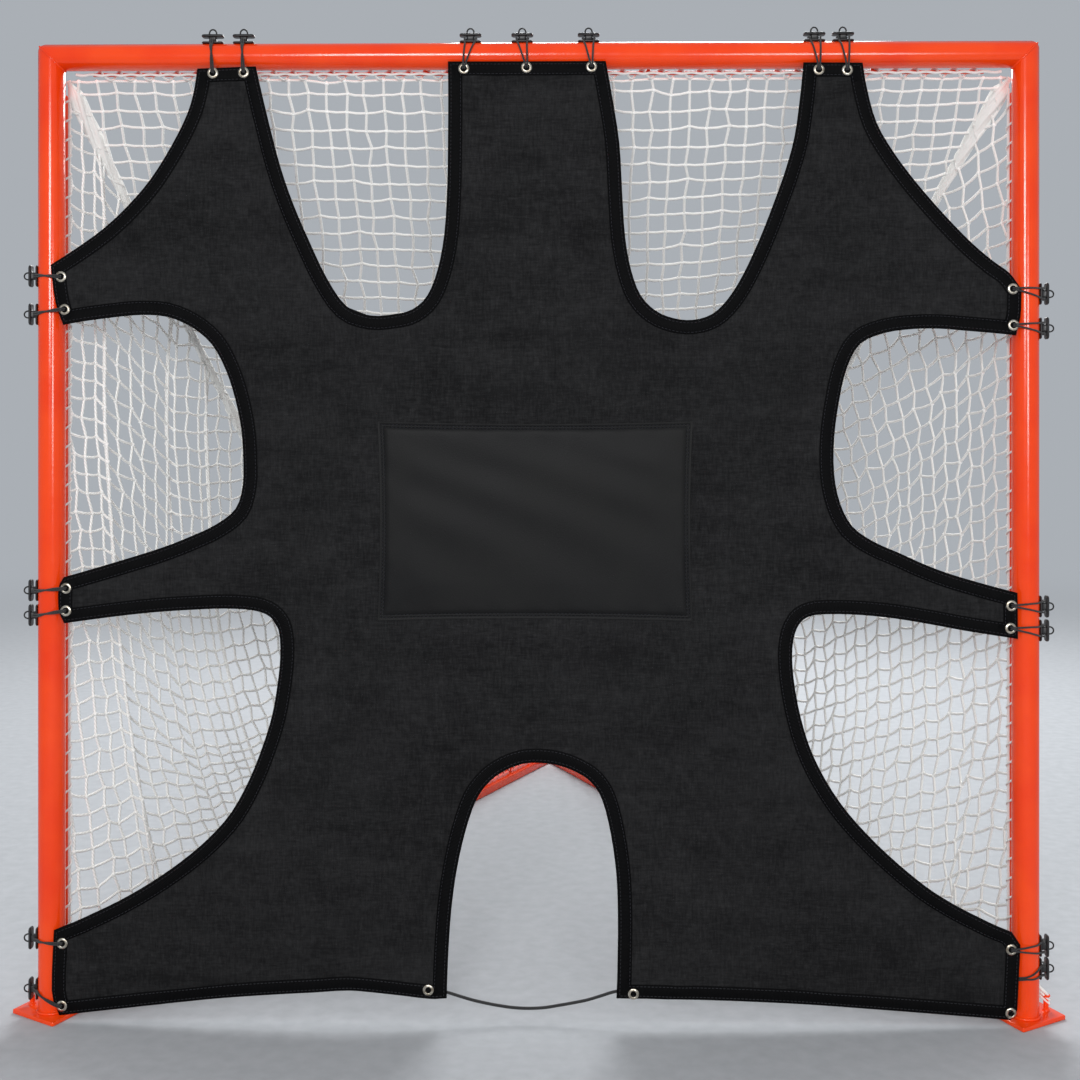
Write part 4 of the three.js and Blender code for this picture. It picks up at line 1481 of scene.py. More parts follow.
        ease = np.clip(along / 0.03, 0.35, 1) * np.clip((along[-1] - along) / 0.03, 0.35, 1)
        lumps = ((1.5, 0.06, 0.16), (0.9, 0.86, 0.10))  # height, place along and width
        fuller = 1 + sum(high * np.exp(-(((along - at) / wide) ** 2)) for high, at, wide in lumps)
        wander = 1 + 0.10 * np.sin(along / 0.043 + side.value) + 0.05 * np.sin(along / 0.017)
        parts = []
        for k in range(self.ridge_strands):
            reach = 0.0048 * ease * fuller * (1 + 0.1 * np.sin(along / 0.05 + 2.1 * k))
            turn = along / 0.52 * 2 * np.pi + k * 2 * np.pi / self.ridge_strands
            parts.append(tube(wound(reach, turn), 0.0034 * ease * (0.7 + 0.3 * fuller) * wander))
        parts.append(tube(line, 0.0070 * ease * (0.35 + 0.65 * fuller), 12))
        winding = wound(0.0082 * ease * (0.5 + 0.5 * fuller), -along / self.weave.mesh * np.pi)
        parts.append(tube(winding, 0.0016, 6))
        ridge = Surface.joined(parts)
        ridge.piece(f"{side.label}_ridge", NET_CORD, Slot.NET, f"{side.label}_ridge_rope", crease=80)

    def build_lacing(self) -> None:
        """Makes the lacing: on each rod a cord wound once round it and the net's edge for every mesh."""
        rods = NetRods(self.lines)
        hx, hy = self.lines.heading
        jobs = {"crossbar_lacing": (rods.crossbar(), unit(np.array([0, 0.7, -0.45])))}
        for side in Side:
            jobs[f"{side.label}_post_lacing"] = (rods.post(side), np.array([-side.value * hx, hy, 0]))
            jobs[f"{side.label}_bar_lacing"] = (rods.ground_bar(side), UP)
        for name, ((start, end, _, _), towards) in jobs.items():
            turns = round(np.linalg.norm(end - start) / self.weave.mesh)
            t = np.linspace(0.006, 0.994, turns * 14)[:, None]
            axis = unit(end - start)
            angle = 2 * np.pi * turns * t
            swing = (0.0095 * np.cos(angle) + 0.0030) * towards
            swing = swing + 0.0066 * np.sin(angle) * np.cross(axis, towards)
            winding = tube(start + (end - start) * t + swing, self.lace, 6, axis)
            winding.piece(name, NET_CORD, Slot.NET, crease=80)

    def build_foot_ties(self) -> None:
        """Makes the loops that hold the net's lower front corners to the studs on the foot plates."""
        for side in Side:
            stud, corner = self.lines.base(side, *self.stud), self.lines.base(side, *self.corner)
            loops = []
            for k in range(HANGS[side].loops):
                middle, reach = (stud + corner) / 2 + (0, 0, 0.007 * k), (corner - stud) / 2
                reach = reach * (1 + 0.0085 / np.linalg.norm(reach))
                wide = unit(np.cross(reach, UP)) * (0.0078 - 0.0006 * k)
                loops.append(tube(middle + spokes(reach, wide, circle(60)), self.lace, 6, UP, closed=True))
            Surface.joined(loops).piece(f"{side.label}_foot_loops", NET_CORD, Slot.NET, crease=80)

    def build(self) -> None:
        """Makes all of the net."""
        self.build_back()
        for side in Side:
            self.build_side(side)
            self.build_ridge(side)
        self.build_lacing()
        self.build_foot_ties()


# The target


def lone_edges(tris: Array) -> Array:
    """The triangles' edges that no other triangle has the other way round.

    Args:
        tris: Each triangle's corners.

    Returns:
        The edges, each as two corners.
    """
    edges = np.concatenate([tris[:, [0, 1]], tris[:, [1, 2]], tris[:, [2, 0]]])
    size = tris.max() + 1
    return edges[~np.isin(edges[:, 0] * size + edges[:, 1], edges[:, 1] * size + edges[:, 0])]


@dataclass
class Pattern:
    """The target's outline and its holes, drawn flat in X and Z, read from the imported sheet."""

    outline: Array  # anticlockwise seen from in front
    holes: Array  # the grommets' centres
    front: float  # Y of the sheet's front face
    back: float
    sharp: float = math.radians(30)

    @staticmethod
    def read() -> "Pattern":
        """The sheet's outline and hole centres: edges that only one front face has, end to end.

        Returns:
            The pattern.
        """
        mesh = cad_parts["target_sheet"].data
        points = np.zeros(len(mesh.vertices) * 3, np.float32)
        mesh.vertices.foreach_get("co", points)
        mesh.calc_loop_triangles()
        faces = np.zeros(len(mesh.loop_triangles) * 3, np.int32)
        mesh.loop_triangles.foreach_get("vertices", faces)
        merged, number = np.unique(points.reshape(-1, 3).round(5), axis=0, return_inverse=True)
        faces = number.reshape(-1)[faces].reshape(-1, 3)
        front = merged[:, 1].min()
        lone = lone_edges(faces[(merged[faces, 1] < front + 1e-4).all(1)])
        follow = np.arange(len(merged))
        follow[lone[:, 0]] = lone[:, 1]
        loops = []
        left = set(lone[:, 0].tolist())
        while left:
            chain, jump = np.array([next(iter(left))]), follow
            while len(chain) < len(lone) + 1:
                chain = np.concatenate([chain, jump[chain]])
                jump = jump[jump]
            around = chain[: 1 + np.argmax(chain[1:] == chain[0])]
            loops.append(merged[around][:, [0, 2]].astype(float))
            left -= set(around.tolist())
        loops.sort(key=len)
        return Pattern(loops[-1], np.array([hole.mean(0) for hole in loops[:-1]]), front, merged[:, 1].max())

    @property
    def thickness(self) -> float:
        """Returns the cloth's thickness."""
        return self.back - self.front

    def smooth(self, steps: int) -> tuple[Array, Array]:
        """Returns the outline as a spline that is sharp at the tabs' corners, and which points those are."""
        corners = np.flatnonzero(headings(self.outline)[2] > self.sharp)
        return spline(self.outline, steps, True, tuple(corners)), corners * steps


@dataclass
class Target:
    """The cloth target: sheet, edge tape with its stitches, sewn panel and grommets."""

    pattern: Pattern
    thread_step: float = 0.0072
    tape: float = 0.026
    tape_thickness: float = 0.0013
    back_tape: float = 0.023
    panel_waist: float = 0.005
    panel_seams: tuple[float, float] = (0.0055, 0.0100)  # from the panel's edge
    grommet: float = 0.0105
    hole: float = 0.0055
    cell: float = 0.0125
    folds: tuple[tuple[float, ...], ...] = (  # X, Z, direction, length, width and height
        (0.50, 0.110, -0.8, 0.10, 0.018, 0.0068), (0.42, 0.165, -0.5, 0.08, 0.014, 0.0048),
        (0.80, 0.130, 0.5, 0.10, 0.022, 0.0071), (0.74, 0.250, 0.9, 0.12, 0.020, 0.0044),
        (-0.78, 0.120, -0.4, 0.13, 0.020, 0.0061), (-0.66, 0.075, 0.1, 0.14, 0.016, 0.0051),
        (-0.50, 0.210, -0.9, 0.12, 0.024, 0.0044), (0.30, 0.120, 1.2, 0.10, 0.018, 0.0037),
        (-0.72, 1.330, 0.9, 0.16, 0.018, 0.0048), (0.74, 1.300, -0.8, 0.16, 0.020, 0.0048),
        (-0.10, 1.640, 1.4, 0.14, 0.024, 0.0034), (0.05, 1.500, 1.7, 0.18, 0.022, 0.0031),
        (-0.60, 1.620, 1.3, 0.12, 0.016, 0.0034), (0.56, 1.600, 1.8, 0.14, 0.018, 0.0034),
    )

    def ripple(self, x: Array, z: Array) -> Array:
        """How far the cloth stands forward of its plane: slow waves that slant across it, a few curved folds
        that are highest in their middles, and puckers that fade out from each grommet.

        Args:
            x: X of the points.
            z: Their Z.

        Returns:
            The distances, all 0 or more.
        """
        slow = 0.5 + 0.5 * np.sin(5.1 * x + 2.2 * z + 1.1 * np.sin(3.1 * z))
        slant = 0.5 + 0.5 * np.sin(11.0 * x - 8.0 * z + 1.7 * np.sin(4.0 * x + 1.0))
        made = 0.0011 * slow + 0.0007 * slant
        for fx, fz, heading, long, wide, high in self.folds:
            run = (x - fx) * math.cos(heading) + (z - fz) * math.sin(heading)
            beside = (z - fz) * math.cos(heading) - (x - fx) * math.sin(heading) - 0.25 * run * run / long
            made = made + high * np.exp(-((beside / wide) ** 2) - (run / long) ** 2)
        for gx, gz in self.pattern.holes:
            away = np.hypot(x - gx, z - gz)
            spoke = np.arctan2(z - gz, x - gx)
            made = made + 0.0009 * (0.5 + 0.5 * np.sin(7 * spoke)) * np.exp(-(((away - 0.035) / 0.022) ** 2))
        return made

    def forward(self, flat: Array, proud: float) -> Array:
        """Returns points in X and Z placed in front of the cloth by a distance, over its ripples."""
        y = self.pattern.front - self.ripple(flat[..., 0], flat[..., 1]) - proud
        return np.stack([flat[..., 0], y, flat[..., 1]], -1)

    def inside(self, flat: Array) -> Array:
        """Which points lie in the outline: a ray along X crosses it an odd number of times.

        Args:
            flat: The points, in X and Z.

        Returns:
            True for those inside.
        """
        a = self.pattern.outline
        b = np.roll(a, -1, 0)
        x, z = flat[:, :1], flat[:, 1:]
        crosses = (a[:, 1] > z) != (b[:, 1] > z)
        rise = np.where(b[:, 1] == a[:, 1], 1.0, b[:, 1] - a[:, 1])
        at = a[:, 0] + (z - a[:, 1]) / rise * (b[:, 0] - a[:, 0])
        return (crosses & (x < at)).sum(1) % 2 == 1

    def sheet_points(self) -> tuple[Array, list[tuple[int, int]]]:
        """The flat points that the sheet is made of, and the edges that it must keep.

        Returns:
            The outline, a ring round each hole and a grid between them, and the outline's and rings' edges.
        """
        outline, _ = self.pattern.smooth(3)
        angle = circle(20)
        ring = self.hole * 1.06 * np.stack([np.cos(angle), np.sin(angle)], 1)
        rings = self.pattern.holes[:, None] + ring
        low, high = outline.min(0), outline.max(0)
        x, z = np.meshgrid(np.arange(low[0], high[0], self.cell), np.arange(low[1], high[1], self.cell))
        x = x + (np.arange(len(x)) % 2)[:, None] * self.cell / 2
        between = np.stack([x.ravel(), z.ravel()], 1)
        between = between[self.inside(between)]
        fixed = np.concatenate([outline, rings.reshape(-1, 2)])
        gap = np.min([np.hypot(*(between - p).T) for p in fixed], axis=0)
        numbers = np.arange(len(rings) * len(ring)).reshape(len(rings), -1)
        loops = [np.arange(len(outline)), *(numbers + len(outline))]
        edges = [(int(a), int(b)) for loop in loops for a, b in zip(loop, np.roll(loop, -1))]
        return np.concatenate([fixed, between[gap > self.cell * 0.45]]), edges

    def build_sheet(self) -> tuple[bpy.types.Object, tuple[float, float], float]:
        """Makes the sheet: two faces from one flat triangulation, walled along every edge that one face has.

        Returns:
            The sheet, its flat width and height, and its flat area.
        """
        flat, edges = self.sheet_points()
        made = geometry.delaunay_2d_cdt([Vector(p) for p in flat], edges, [], 0, 1e-6)
        points = np.array([tuple(p) for p in made[0]])
        tris = np.array(made[2])
        middle = points[tris].mean(1)
        away = np.min([np.hypot(*(middle - h).T) for h in self.pattern.holes], axis=0)
        tris = tris[self.inside(middle) & (away > self.hole)]
        a, b, c = points[tris[:, 0]], points[tris[:, 1]], points[tris[:, 2]]
        areas = np.cross(b - a, c - a) / 2
        tris[areas < 0] = tris[areas < 0][:, ::-1]
        lone, count = lone_edges(tris), len(points)
        quads = np.stack([lone[:, 1], lone[:, 0], lone[:, 0] + count, lone[:, 1] + count], 1)
        both = np.concatenate([self.forward(points, 0.0), self.forward(points, -self.pattern.thickness)])
        tris = np.concatenate([tris, tris[:, ::-1] + count])
        whole = Surface(both, quads, np.zeros((len(quads), 4, 2)), tris)
        sheet = whole.piece("target_cloth", CLOTH, Slot.CLOTH, "target_sheet", crease=50)
        width, height = np.ptp(points, axis=0)
        return sheet, (float(width), float(height)), float(np.abs(areas).sum())

    def tape_edge(self) -> tuple[Array, Array]:
        """The outline's points that the tape is folded along, and the way in from each.

        Returns:
            The points, clear of each convex corner by what the tape's mitre needs, and each one's step
            inwards for one metre of width: the bisector over the cosine of half the turn.
        """
        path, corners = self.pattern.smooth(3)
        turn = headings(path)[2]
        at = lengths(np.concatenate([path, path[:1]]))
        total, at = at[-1], at[:-1]
        away = np.abs(at[:, None] - at[corners])
        away = np.minimum(away, total - away)
        needed = 1.1 * self.tape * np.tan(np.abs(turn[corners]).clip(0, 2.2) / 2)
        keep = (away >= needed).all(1)
        keep[corners] = True
        path = path[keep]
        into, out_of, _ = headings(path)
        inward = unit(left_of(into + out_of))
        slant = np.maximum((inward * left_of(into)).sum(1), 0.45)
        return path, inward / slant[:, None]

    def build_tape(self) -> list[bpy.types.Object]:
        """Makes the edge tape, folded over the cloth's edge, and the two rows of stitches through it.

        Returns:
            The tape and the stitches.
        """
        path, inward = self.tape_edge()
        gap, cloth = 0.0002, self.pattern.thickness
        front = self.tape_thickness + gap
        fold = cloth / 2 + gap
        profile = np.array([  # step in from the edge, and out of the cloth's front face
            (self.tape, gap), (self.tape, front * 0.6), (self.tape - 0.0007, front),
            (self.tape * 0.5, front + 0.0002), (0.0030, front), (0.0004, front * 0.7), (-0.0011, 0.0),
            (-0.0014, -fold), (-0.0009, -cloth - 0.0001), (0.0006, -cloth - 0.0008),
            (0.0030, -cloth - 0.0011), (self.back_tape - 0.0007, -cloth - 0.0011),
            (self.back_tape, -cloth - 0.0007), (self.back_tape, -cloth - gap), (0.0006, -cloth - gap),
            (-0.0003, -fold), (0.0006, gap),
        ])
        rows = self.forward(path[:, None] + inward[:, None] * profile[:, :1], profile[:, 1])
        along = lengths(np.concatenate([path, path[:1]]))[:-1]
        whole = grid(rows[:, ::-1], along, round_rows=True, round_columns=True)
        tape = whole.piece("edge_tape", TAPE, Slot.TAPE, "edge_binding", crease=50)
        insets = (self.tape - 0.0035, 0.0045)
        seams = [self.stitches(path + inward * inset, front + 0.0004) for inset in insets]
        return [tape, Surface.joined(seams).piece("tape_stitches", THREAD, Slot.TAPE)]

    def stitches(self, seam: Array, proud: float) -> Surface:
        """Stitches round a seam: short bars of four sides, thick in the middle and pointed at both ends.

        Args:
            seam: The seam in X and Z, whose last point joins its first.
            proud: How far they lie in front of the cloth.

        Returns:
            The stitches, one for every thread step; real ones are about half as long.
        """
        whole = np.concatenate([seam, seam[:1]])
        at = lengths(whole)
        count = int(at[-1] / self.thread_step)
        place = (np.arange(count)[:, None] + np.array([0.14, 0.32, 0.68, 0.86])) * at[-1] / count
        flat = np.stack([np.interp(place, at, whole[:, 0]), np.interp(place, at, whole[:, 1])], -1)
        line = self.forward(flat, proud + np.array([-0.0003, 0.00025, 0.00025, -0.0003]))
        half = np.array([0.00018, 0.00055, 0.00055, 0.00018])[:, None, None]
        beside = np.cross(unit(line[:, -1] - line[:, 0])[:, None], BACK)
        rings = line[:, :, None] + half * spokes(beside, -BACK, circle(4))
        return skin(rings[0]).repeated(rings)

    def panel_steps(self, size: float, count: int) -> Array:
        """Steps over one side of the panel from 0 to 1, close together over its seams and even between them.

        Args:
            size: The side's length.
            count: How many even steps.

        Returns:
            The steps.
        """
        seams = (seam + np.array([-0.0014, 0.0, 0.0014]) for seam in self.panel_seams)
        edge = np.concatenate([[0.0, 0.002], *seams])
        near, far = edge / size, 1 - edge[::-1] / size
        return np.concatenate([near, np.linspace(near[-1], far[0], count)[1:-1], far])

    @staticmethod
    def rim(points: Array, i: int) -> Array:
        """Returns the loop of a grid's points that lies i steps in from its rim."""
        j = -i - 1
        return np.concatenate([points[i:j, i], points[j, i:j], points[j:i:-1, j], points[i, j:i:-1]])

    def build_panel(self) -> list[bpy.types.Object]:
        """Makes the sewn panel: a sheet between four bowed edges, puffed a little between its seams.

        Returns:
            The panel and its stitches.
        """
        low, high = box("centre_panel")
        wide, _, tall = high - low
        u, v = np.meshgrid(self.panel_steps(wide, 72), self.panel_steps(tall, 48), indexing="ij")
        bow_u, bow_v = 4 * u * (1 - u) * self.panel_waist, 4 * v * (1 - v) * self.panel_waist
        x = low[0] + wide * u + bow_v * (1 - 2 * u)
        z = low[2] + tall * v + bow_u * (1 - 2 * v)
        rim = np.minimum.reduce([u * wide, (1 - u) * wide, v * tall, (1 - v) * tall])
        seams = sum(np.exp(-(((rim - seam) / 0.0013) ** 2)) for seam in self.panel_seams)
        pucker = 0.0004 * np.sin(95 * (x + z)) * np.exp(-(((rim - 0.014) / 0.009) ** 2))
        uneven = 0.7 + 0.3 * np.sin(7 * x + 3 * np.sin(9 * z))
        swell = 0.0026 * np.clip((rim - 0.010) / 0.06, 0, 1) ** 0.6 * uneven
        drag = 0.0008 * np.sin(26 * x + 12 * np.sin(6 * z)) * np.clip(rim / 0.08, 0, 1)
        flat = np.stack([x, z], -1)
        face = self.forward(flat, 0.0018 + swell + drag + pucker - 0.0012 * seams)
        top, bottom = (grid(side.transpose(1, 0, 2)) for side in (face, self.forward(flat, 0.0002)))
        count = len(top.points)
        loop = self.rim(np.arange(count).reshape(x.shape[::-1]).T, 0)
        ahead = np.roll(loop, -1)
        wall = np.stack([ahead, loop, loop + count, ahead + count], 1)
        quads = np.concatenate([top.quads, bottom.quads[:, ::-1] + count, wall])
        whole = Surface(np.concatenate([top.points, bottom.points]), quads, np.zeros((len(quads), 4, 2)))
        panel = whole.piece("middle_panel", COATED, Slot.COATED, "centre_panel", crease=40)
        rows = [self.stitches(self.rim(flat, i), 0.0011) for i in (3, 6)]
        return [panel, Surface.joined(rows).piece("panel_stitches", THREAD, Slot.COATED)]

    def build_grommets(self) -> list[bpy.types.Object]:
        """Makes the grommets: a rolled rim in front, a barrel through the cloth and a washer behind.

        Returns:
            The grommets.
        """
        front = self.tape_thickness + 0.0004
        back = self.pattern.thickness + 0.0013
        profile = np.array([
            (self.hole, -back - 0.0004), (self.hole, front + 0.0006), (self.hole + 0.0004, front + 0.0012),
            (self.hole + 0.0012, front + 0.0016), (self.hole + 0.0024, front + 0.0015),
            (self.grommet - 0.0012, front + 0.0009), (self.grommet - 0.0003, front + 0.0005),
            (self.grommet, front + 0.0001), (self.grommet - 0.0004, front - 0.0002),
            (self.hole + 0.0007, front), (self.hole + 0.0007, -back + 0.0001),
            (self.grommet - 0.0016, -back + 0.0002), (self.grommet - 0.0012, -back - 0.0002),
            (self.grommet - 0.0020, -back - 0.0006), (self.hole + 0.0016, -back - 0.0010),
            (self.hole + 0.0004, -back - 0.0009),
        ])
        made = []
        for number, centre in enumerate(self.forward(self.pattern.holes, 0.0), 1):
            ring = turned(profile, centre, -BACK, ACROSS, 36)
            made.append(ring.piece(f"grommet_{number}", NICKEL, Slot.NICKEL, crease=45))
        return made

    def build(self) -> None:
        """Makes the target and logs its cloth's area."""
        sheet, flat, area = self.build_sheet()
        others = [*self.build_tape(), *self.build_panel(), *self.build_grommets()]
        log.info("target: %.3f square metres of cloth", area)


# Ties and toggles


class Edge(Enum):
    """A tube that the target is tied to: its name, the way along it and the way out from the mouth."""

    TOP = ("top", (1.0, 0.0, 0.0), (0.0, 0.0, 1.0))
    LEFT = ("left", (0.0, 0.0, 1.0), (-1.0, 0.0, 0.0))
    RIGHT = ("right", (0.0, 0.0, 1.0), (1.0, 0.0, 0.0))

    @property
    def label(self) -> str:
        """Returns the tube's name."""
        return self.value[0]

    @property
    def along(self) -> Array:
        """Returns the way along the tube."""
        return np.array(self.value[1])

    @property
    def out(self) -> Array:
        """Returns the way out from the mouth."""
        return np.array(self.value[2])


@dataclass
class Tie:
    """A doubled elastic cord from a toggle's neck over the tube, through a grommet and round behind."""

    lines: Lines
    edge: Edge
    number: int
    hole: Array
    front: float  # Y of the sheet's front face
    cord: float = 0.0036
    toggle: tuple[float, float, float] = (0.042, 0.0185, 0.0175)  # length, depth and height
    neck: tuple[float, float] = (0.0035, 0.009)  # the inner lip and the neck's height
    beside_neck: float = 0.0085
    crossed: str = "right_6"  # the one tie that comes up through its grommet from behind

    @property
    def label(self) -> str:
        """Returns the tie's tube and number."""
        return f"{self.edge.label}_{self.number}"

    @property
    def shelf(self) -> float:
        """Returns how far from the tube's axis the toggle starts."""
        return self.lines.radius + TOUCH

    @property
    def origin(self) -> Array:
        """Where the tie's steps are counted from.

        Returns:
            The point on the tube's axis under the toggle.
        """
        middle, lines = sum(box(f"toggle_{self.label}")) / 2, self.lines
        axis = {
            Edge.TOP: (middle[0], lines.goal, lines.bar),
            Edge.LEFT: (-lines.post, lines.goal, middle[2]),
            Edge.RIGHT: (lines.post, lines.goal, middle[2]),
        }
        return np.array(axis[self.edge])

    def at(self, out: Array, back: Array, along: Array) -> Array:
        """Returns points in steps out from the mouth, back and along the tube from the toggle."""
        steps = np.stack(np.broadcast_arrays(out, back, along), -1)
        return self.origin + steps @ np.stack([self.edge.out, BACK, self.edge.along])

    def route(self) -> Array:
        """The pair's middle line, as steps out, back and along from the toggle.

        Returns:
            The points, from the toggle's front side to its back side.
        """
        lines, half = self.lines, self.cord / 2
        grommet = np.array([self.hole[0], lines.goal, self.hole[1]]) - self.origin
        reach, drop = -grommet @ self.edge.out, grommet @ self.edge.along
        neck = self.shelf + self.neck[0] + self.neck[1] / 2
        hug = lines.radius + half + 0.0006
        face = self.front - lines.goal
        proud = face - 0.0035 - half

        def round_tube(*places: tuple[float, float]) -> list[list[float]]:
            """Returns points on the tube's wall, each at an angle from its front and a share of the drop."""
            turns = [(math.radians(degrees), share) for degrees, share in places]
            return [[-hug * math.sin(turn), -hug * math.cos(turn), drop * share] for turn, share in turns]

        first = [[neck, 0.0, 0.0], [neck - 0.001, -self.beside_neck, 0.0]]
        if self.label == self.crossed:
            return np.array([
                *first,
                *round_tube((-58, 0.02), (-35, 0.05), (-10, 0.1), (20, 0.14), (50, 0.2), (75, 0.35)),
                [-hug - 0.003, -0.010, drop * 0.7],
                [-reach, face + 0.0065, drop * 0.96],
                [-reach, face - 0.0005, drop],
                [-reach - 0.002, face - 0.0045, drop * 1.02],
            ])
        behind = (90, 117, 144, 171, 198, 225, 240)
        return np.array([
            *first,
            *round_tube((-58, 0.06), (-35, 0.2), (-8, 0.45)),
            [-reach / 3, proud + 0.001, drop * 0.7],
            [-reach + 0.009, proud - 0.0004, drop * 0.9],
            [-reach + 0.0026, proud - 0.0004, drop * 0.99],
            [-reach, face + 0.0002, drop],
            [-reach, face + 0.0048, drop],
            *round_tube(*((degrees, 1 - i / 7) for i, degrees in enumerate(behind))),
            [neck - 0.001, self.beside_neck, 0.0],
            [neck, 0.0, 0.0],
        ])

    def build_cord(self) -> None:
        """Makes the tie's two strands, which lie side by side, spread towards the grommet or twist."""
        path = self.at(*spline(self.route(), 7).T)
        share = lengths(path) / lengths(path)[-1]
        tangent = unit(np.gradient(path, axis=0))
        across = unit(self.edge.along - (tangent @ self.edge.along)[:, None] * tangent)
        other = np.cross(tangent, across)
        twists = {Edge.TOP: 1.5 if self.number < 3 else 0.0, Edge.LEFT: 1.5, Edge.RIGHT: 0.0}[self.edge]
        turn = 2 * np.pi * twists * np.clip((share - 0.08) / 0.84, 0, 1)
        wide = 0.0 if twists else 0.0100
        ends = np.clip(1 - share / 0.36, 0, 1) + 0.6 * np.clip((share - 0.7) / 0.3, 0, 1)
        spread = 0.0019 + wide * ends
        sway = (spread * np.cos(turn))[:, None] * across + (spread * np.sin(turn) * 0.55)[:, None] * other
        beside = unit(self.edge.along + 0.31 * self.edge.out)
        parts = [*(tube(path + sign * sway, self.cord / 2, 8, beside) for sign in (1, -1)), self.tail()]
        name, replaced = f"tie_cord_{self.label}", f"tie_{self.label}"
        made = Surface.joined(parts).piece(name, ELASTIC, Slot.ELASTIC, replaced, body=None, crease=80)
        start, end = self.at(-0.005, 0.0, 0.0), self.at(0.0262, 0.0, 0.0)
        f"toggle_{self.label}"
        tuple(start)
        tuple(end)
        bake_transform(made)

    def tail(self) -> Surface:
        """The cord's end: a half circle drawn out past the toggle.

        Returns:
            The loop.
        """
        turn = np.linspace(0, np.pi, 18)
        out = self.shelf + self.toggle[2] - 0.003 + 0.0135 * np.sin(turn)
        loop = self.at(out, 0.0012 * np.cos(turn), 0.0062 * np.cos(turn) + 0.0015 * np.sin(2 * turn))
        return tube(loop, self.cord / 2 * 0.85, 8, BACK)

    def build_toggle(self) -> None:
        """Makes the toggle: rounded rectangles carried out from the tube, with a neck between two lips."""
        length, depth, height = self.toggle
        lip, neck = self.neck
        start = self.shelf
        ledge, top = start + lip + neck, start + height
        sections = [  # length, depth and distance out from the axis
            (length - 0.007, depth - 0.006, start), (length - 0.0025, depth - 0.0025, start + 0.0003),
            (length - 0.0006, depth - 0.0006, start + 0.0012),
            (length - 0.0006, depth - 0.0006, start + lip - 0.0009),
            (length - 0.0025, depth - 0.0025, start + lip), (0.0185, depth - 0.0050, start + lip + 0.0002),
            (0.0150, depth - 0.0062, start + lip + 0.0012),
            (0.0140, depth - 0.0068, start + lip + neck / 2), (0.0150, depth - 0.0062, ledge - 0.0012),
            (0.0185, depth - 0.0050, ledge - 0.0002), (length - 0.0025, depth - 0.0025, ledge),
            (length, depth, ledge + 0.0010), (length, depth, top - 0.0018),
            (length - 0.0016, depth - 0.0012, top - 0.0006), (length - 0.0050, depth - 0.0040, top),
            (length - 0.0120, depth - 0.0090, top), (length - 0.0130, depth - 0.0100, top - 0.0007),
            (length - 0.0200, depth - 0.0130, top - 0.0009),
        ]
        rings = np.stack([
            self.at(out, *rounded(rectangle(deep, long), min(deep, long) * 0.3, steps=5).T)
            for long, deep, out in sections
        ])
        if np.cross(BACK, self.edge.along) @ self.edge.out < 0:
            rings = rings[:, ::-1]
        node = f"toggle_{self.label}"
        skin(rings).piece(f"toggle_body_{self.label}", PLASTIC, Slot.PLASTIC, node, body=node, crease=32)


@dataclass
class Ties:
    """All ties and toggles."""

    lines: Lines
    pattern: Pattern
    corner: float = 1.75  # holes over this height belong to the crossbar

    def holes_on(self, edge: Edge) -> Array:
        """The grommets along one tube.

        Args:
            edge: The tube.

        Returns:
            Their centres, in the order of that tube's ties.
        """
        x, z = self.pattern.holes.T
        near = {
            Edge.TOP: z > self.corner,
            Edge.LEFT: (x < -0.8) & (z <= self.corner),
            Edge.RIGHT: (x > 0.8) & (z <= self.corner),
        }[edge]
        found = self.pattern.holes[near]
        return found[np.argsort(found[:, 0] if edge is Edge.TOP else -found[:, 1])]

    def build(self) -> None:
        """Makes every tie and toggle."""
        for edge in Edge:
            for k, hole in enumerate(self.holes_on(edge)):
                tie = Tie(self.lines, edge, k + 1, hole, self.pattern.front)
                tie.build_cord()
                tie.build_toggle()


@dataclass
class ArchCord:
    """The elastic that hangs behind the cloth across the foot of the arch, from one grommet to another."""

    diameter: float = 0.006
    route: tuple[tuple[float, float], ...] = (  # X and Z of its run, listed from end to end
        (-0.206, 0.062), (-0.197, 0.0616), (-0.188, 0.060), (-0.169, 0.055), (-0.146, 0.048),
        (-0.122, 0.041), (-0.098, 0.0355), (-0.074, 0.031), (-0.045, 0.027), (-0.015, 0.0255),
        (0.015, 0.027), (0.040, 0.031), (0.068, 0.036), (0.097, 0.042), (0.122, 0.0495),
        (0.145, 0.057), (0.165, 0.061), (0.176, 0.060), (0.186, 0.057),
    )

    def build(self) -> None:
        behind = sum(box("arch_cord"))[1] / 2
        path = spline(np.insert(np.array(self.route), 1, behind, axis=1), 6)
        whole = tube(path, self.diameter / 2, 12, BACK)
        made = whole.piece("arch_elastic", ELASTIC, Slot.ELASTIC, "arch_cord", crease=80)
        length = float(lengths(path)[-1])
        tuple(path[0])
        [tuple(p) for p in path]
        log.info("arch_elastic: %.3f m long", length)


# The studio


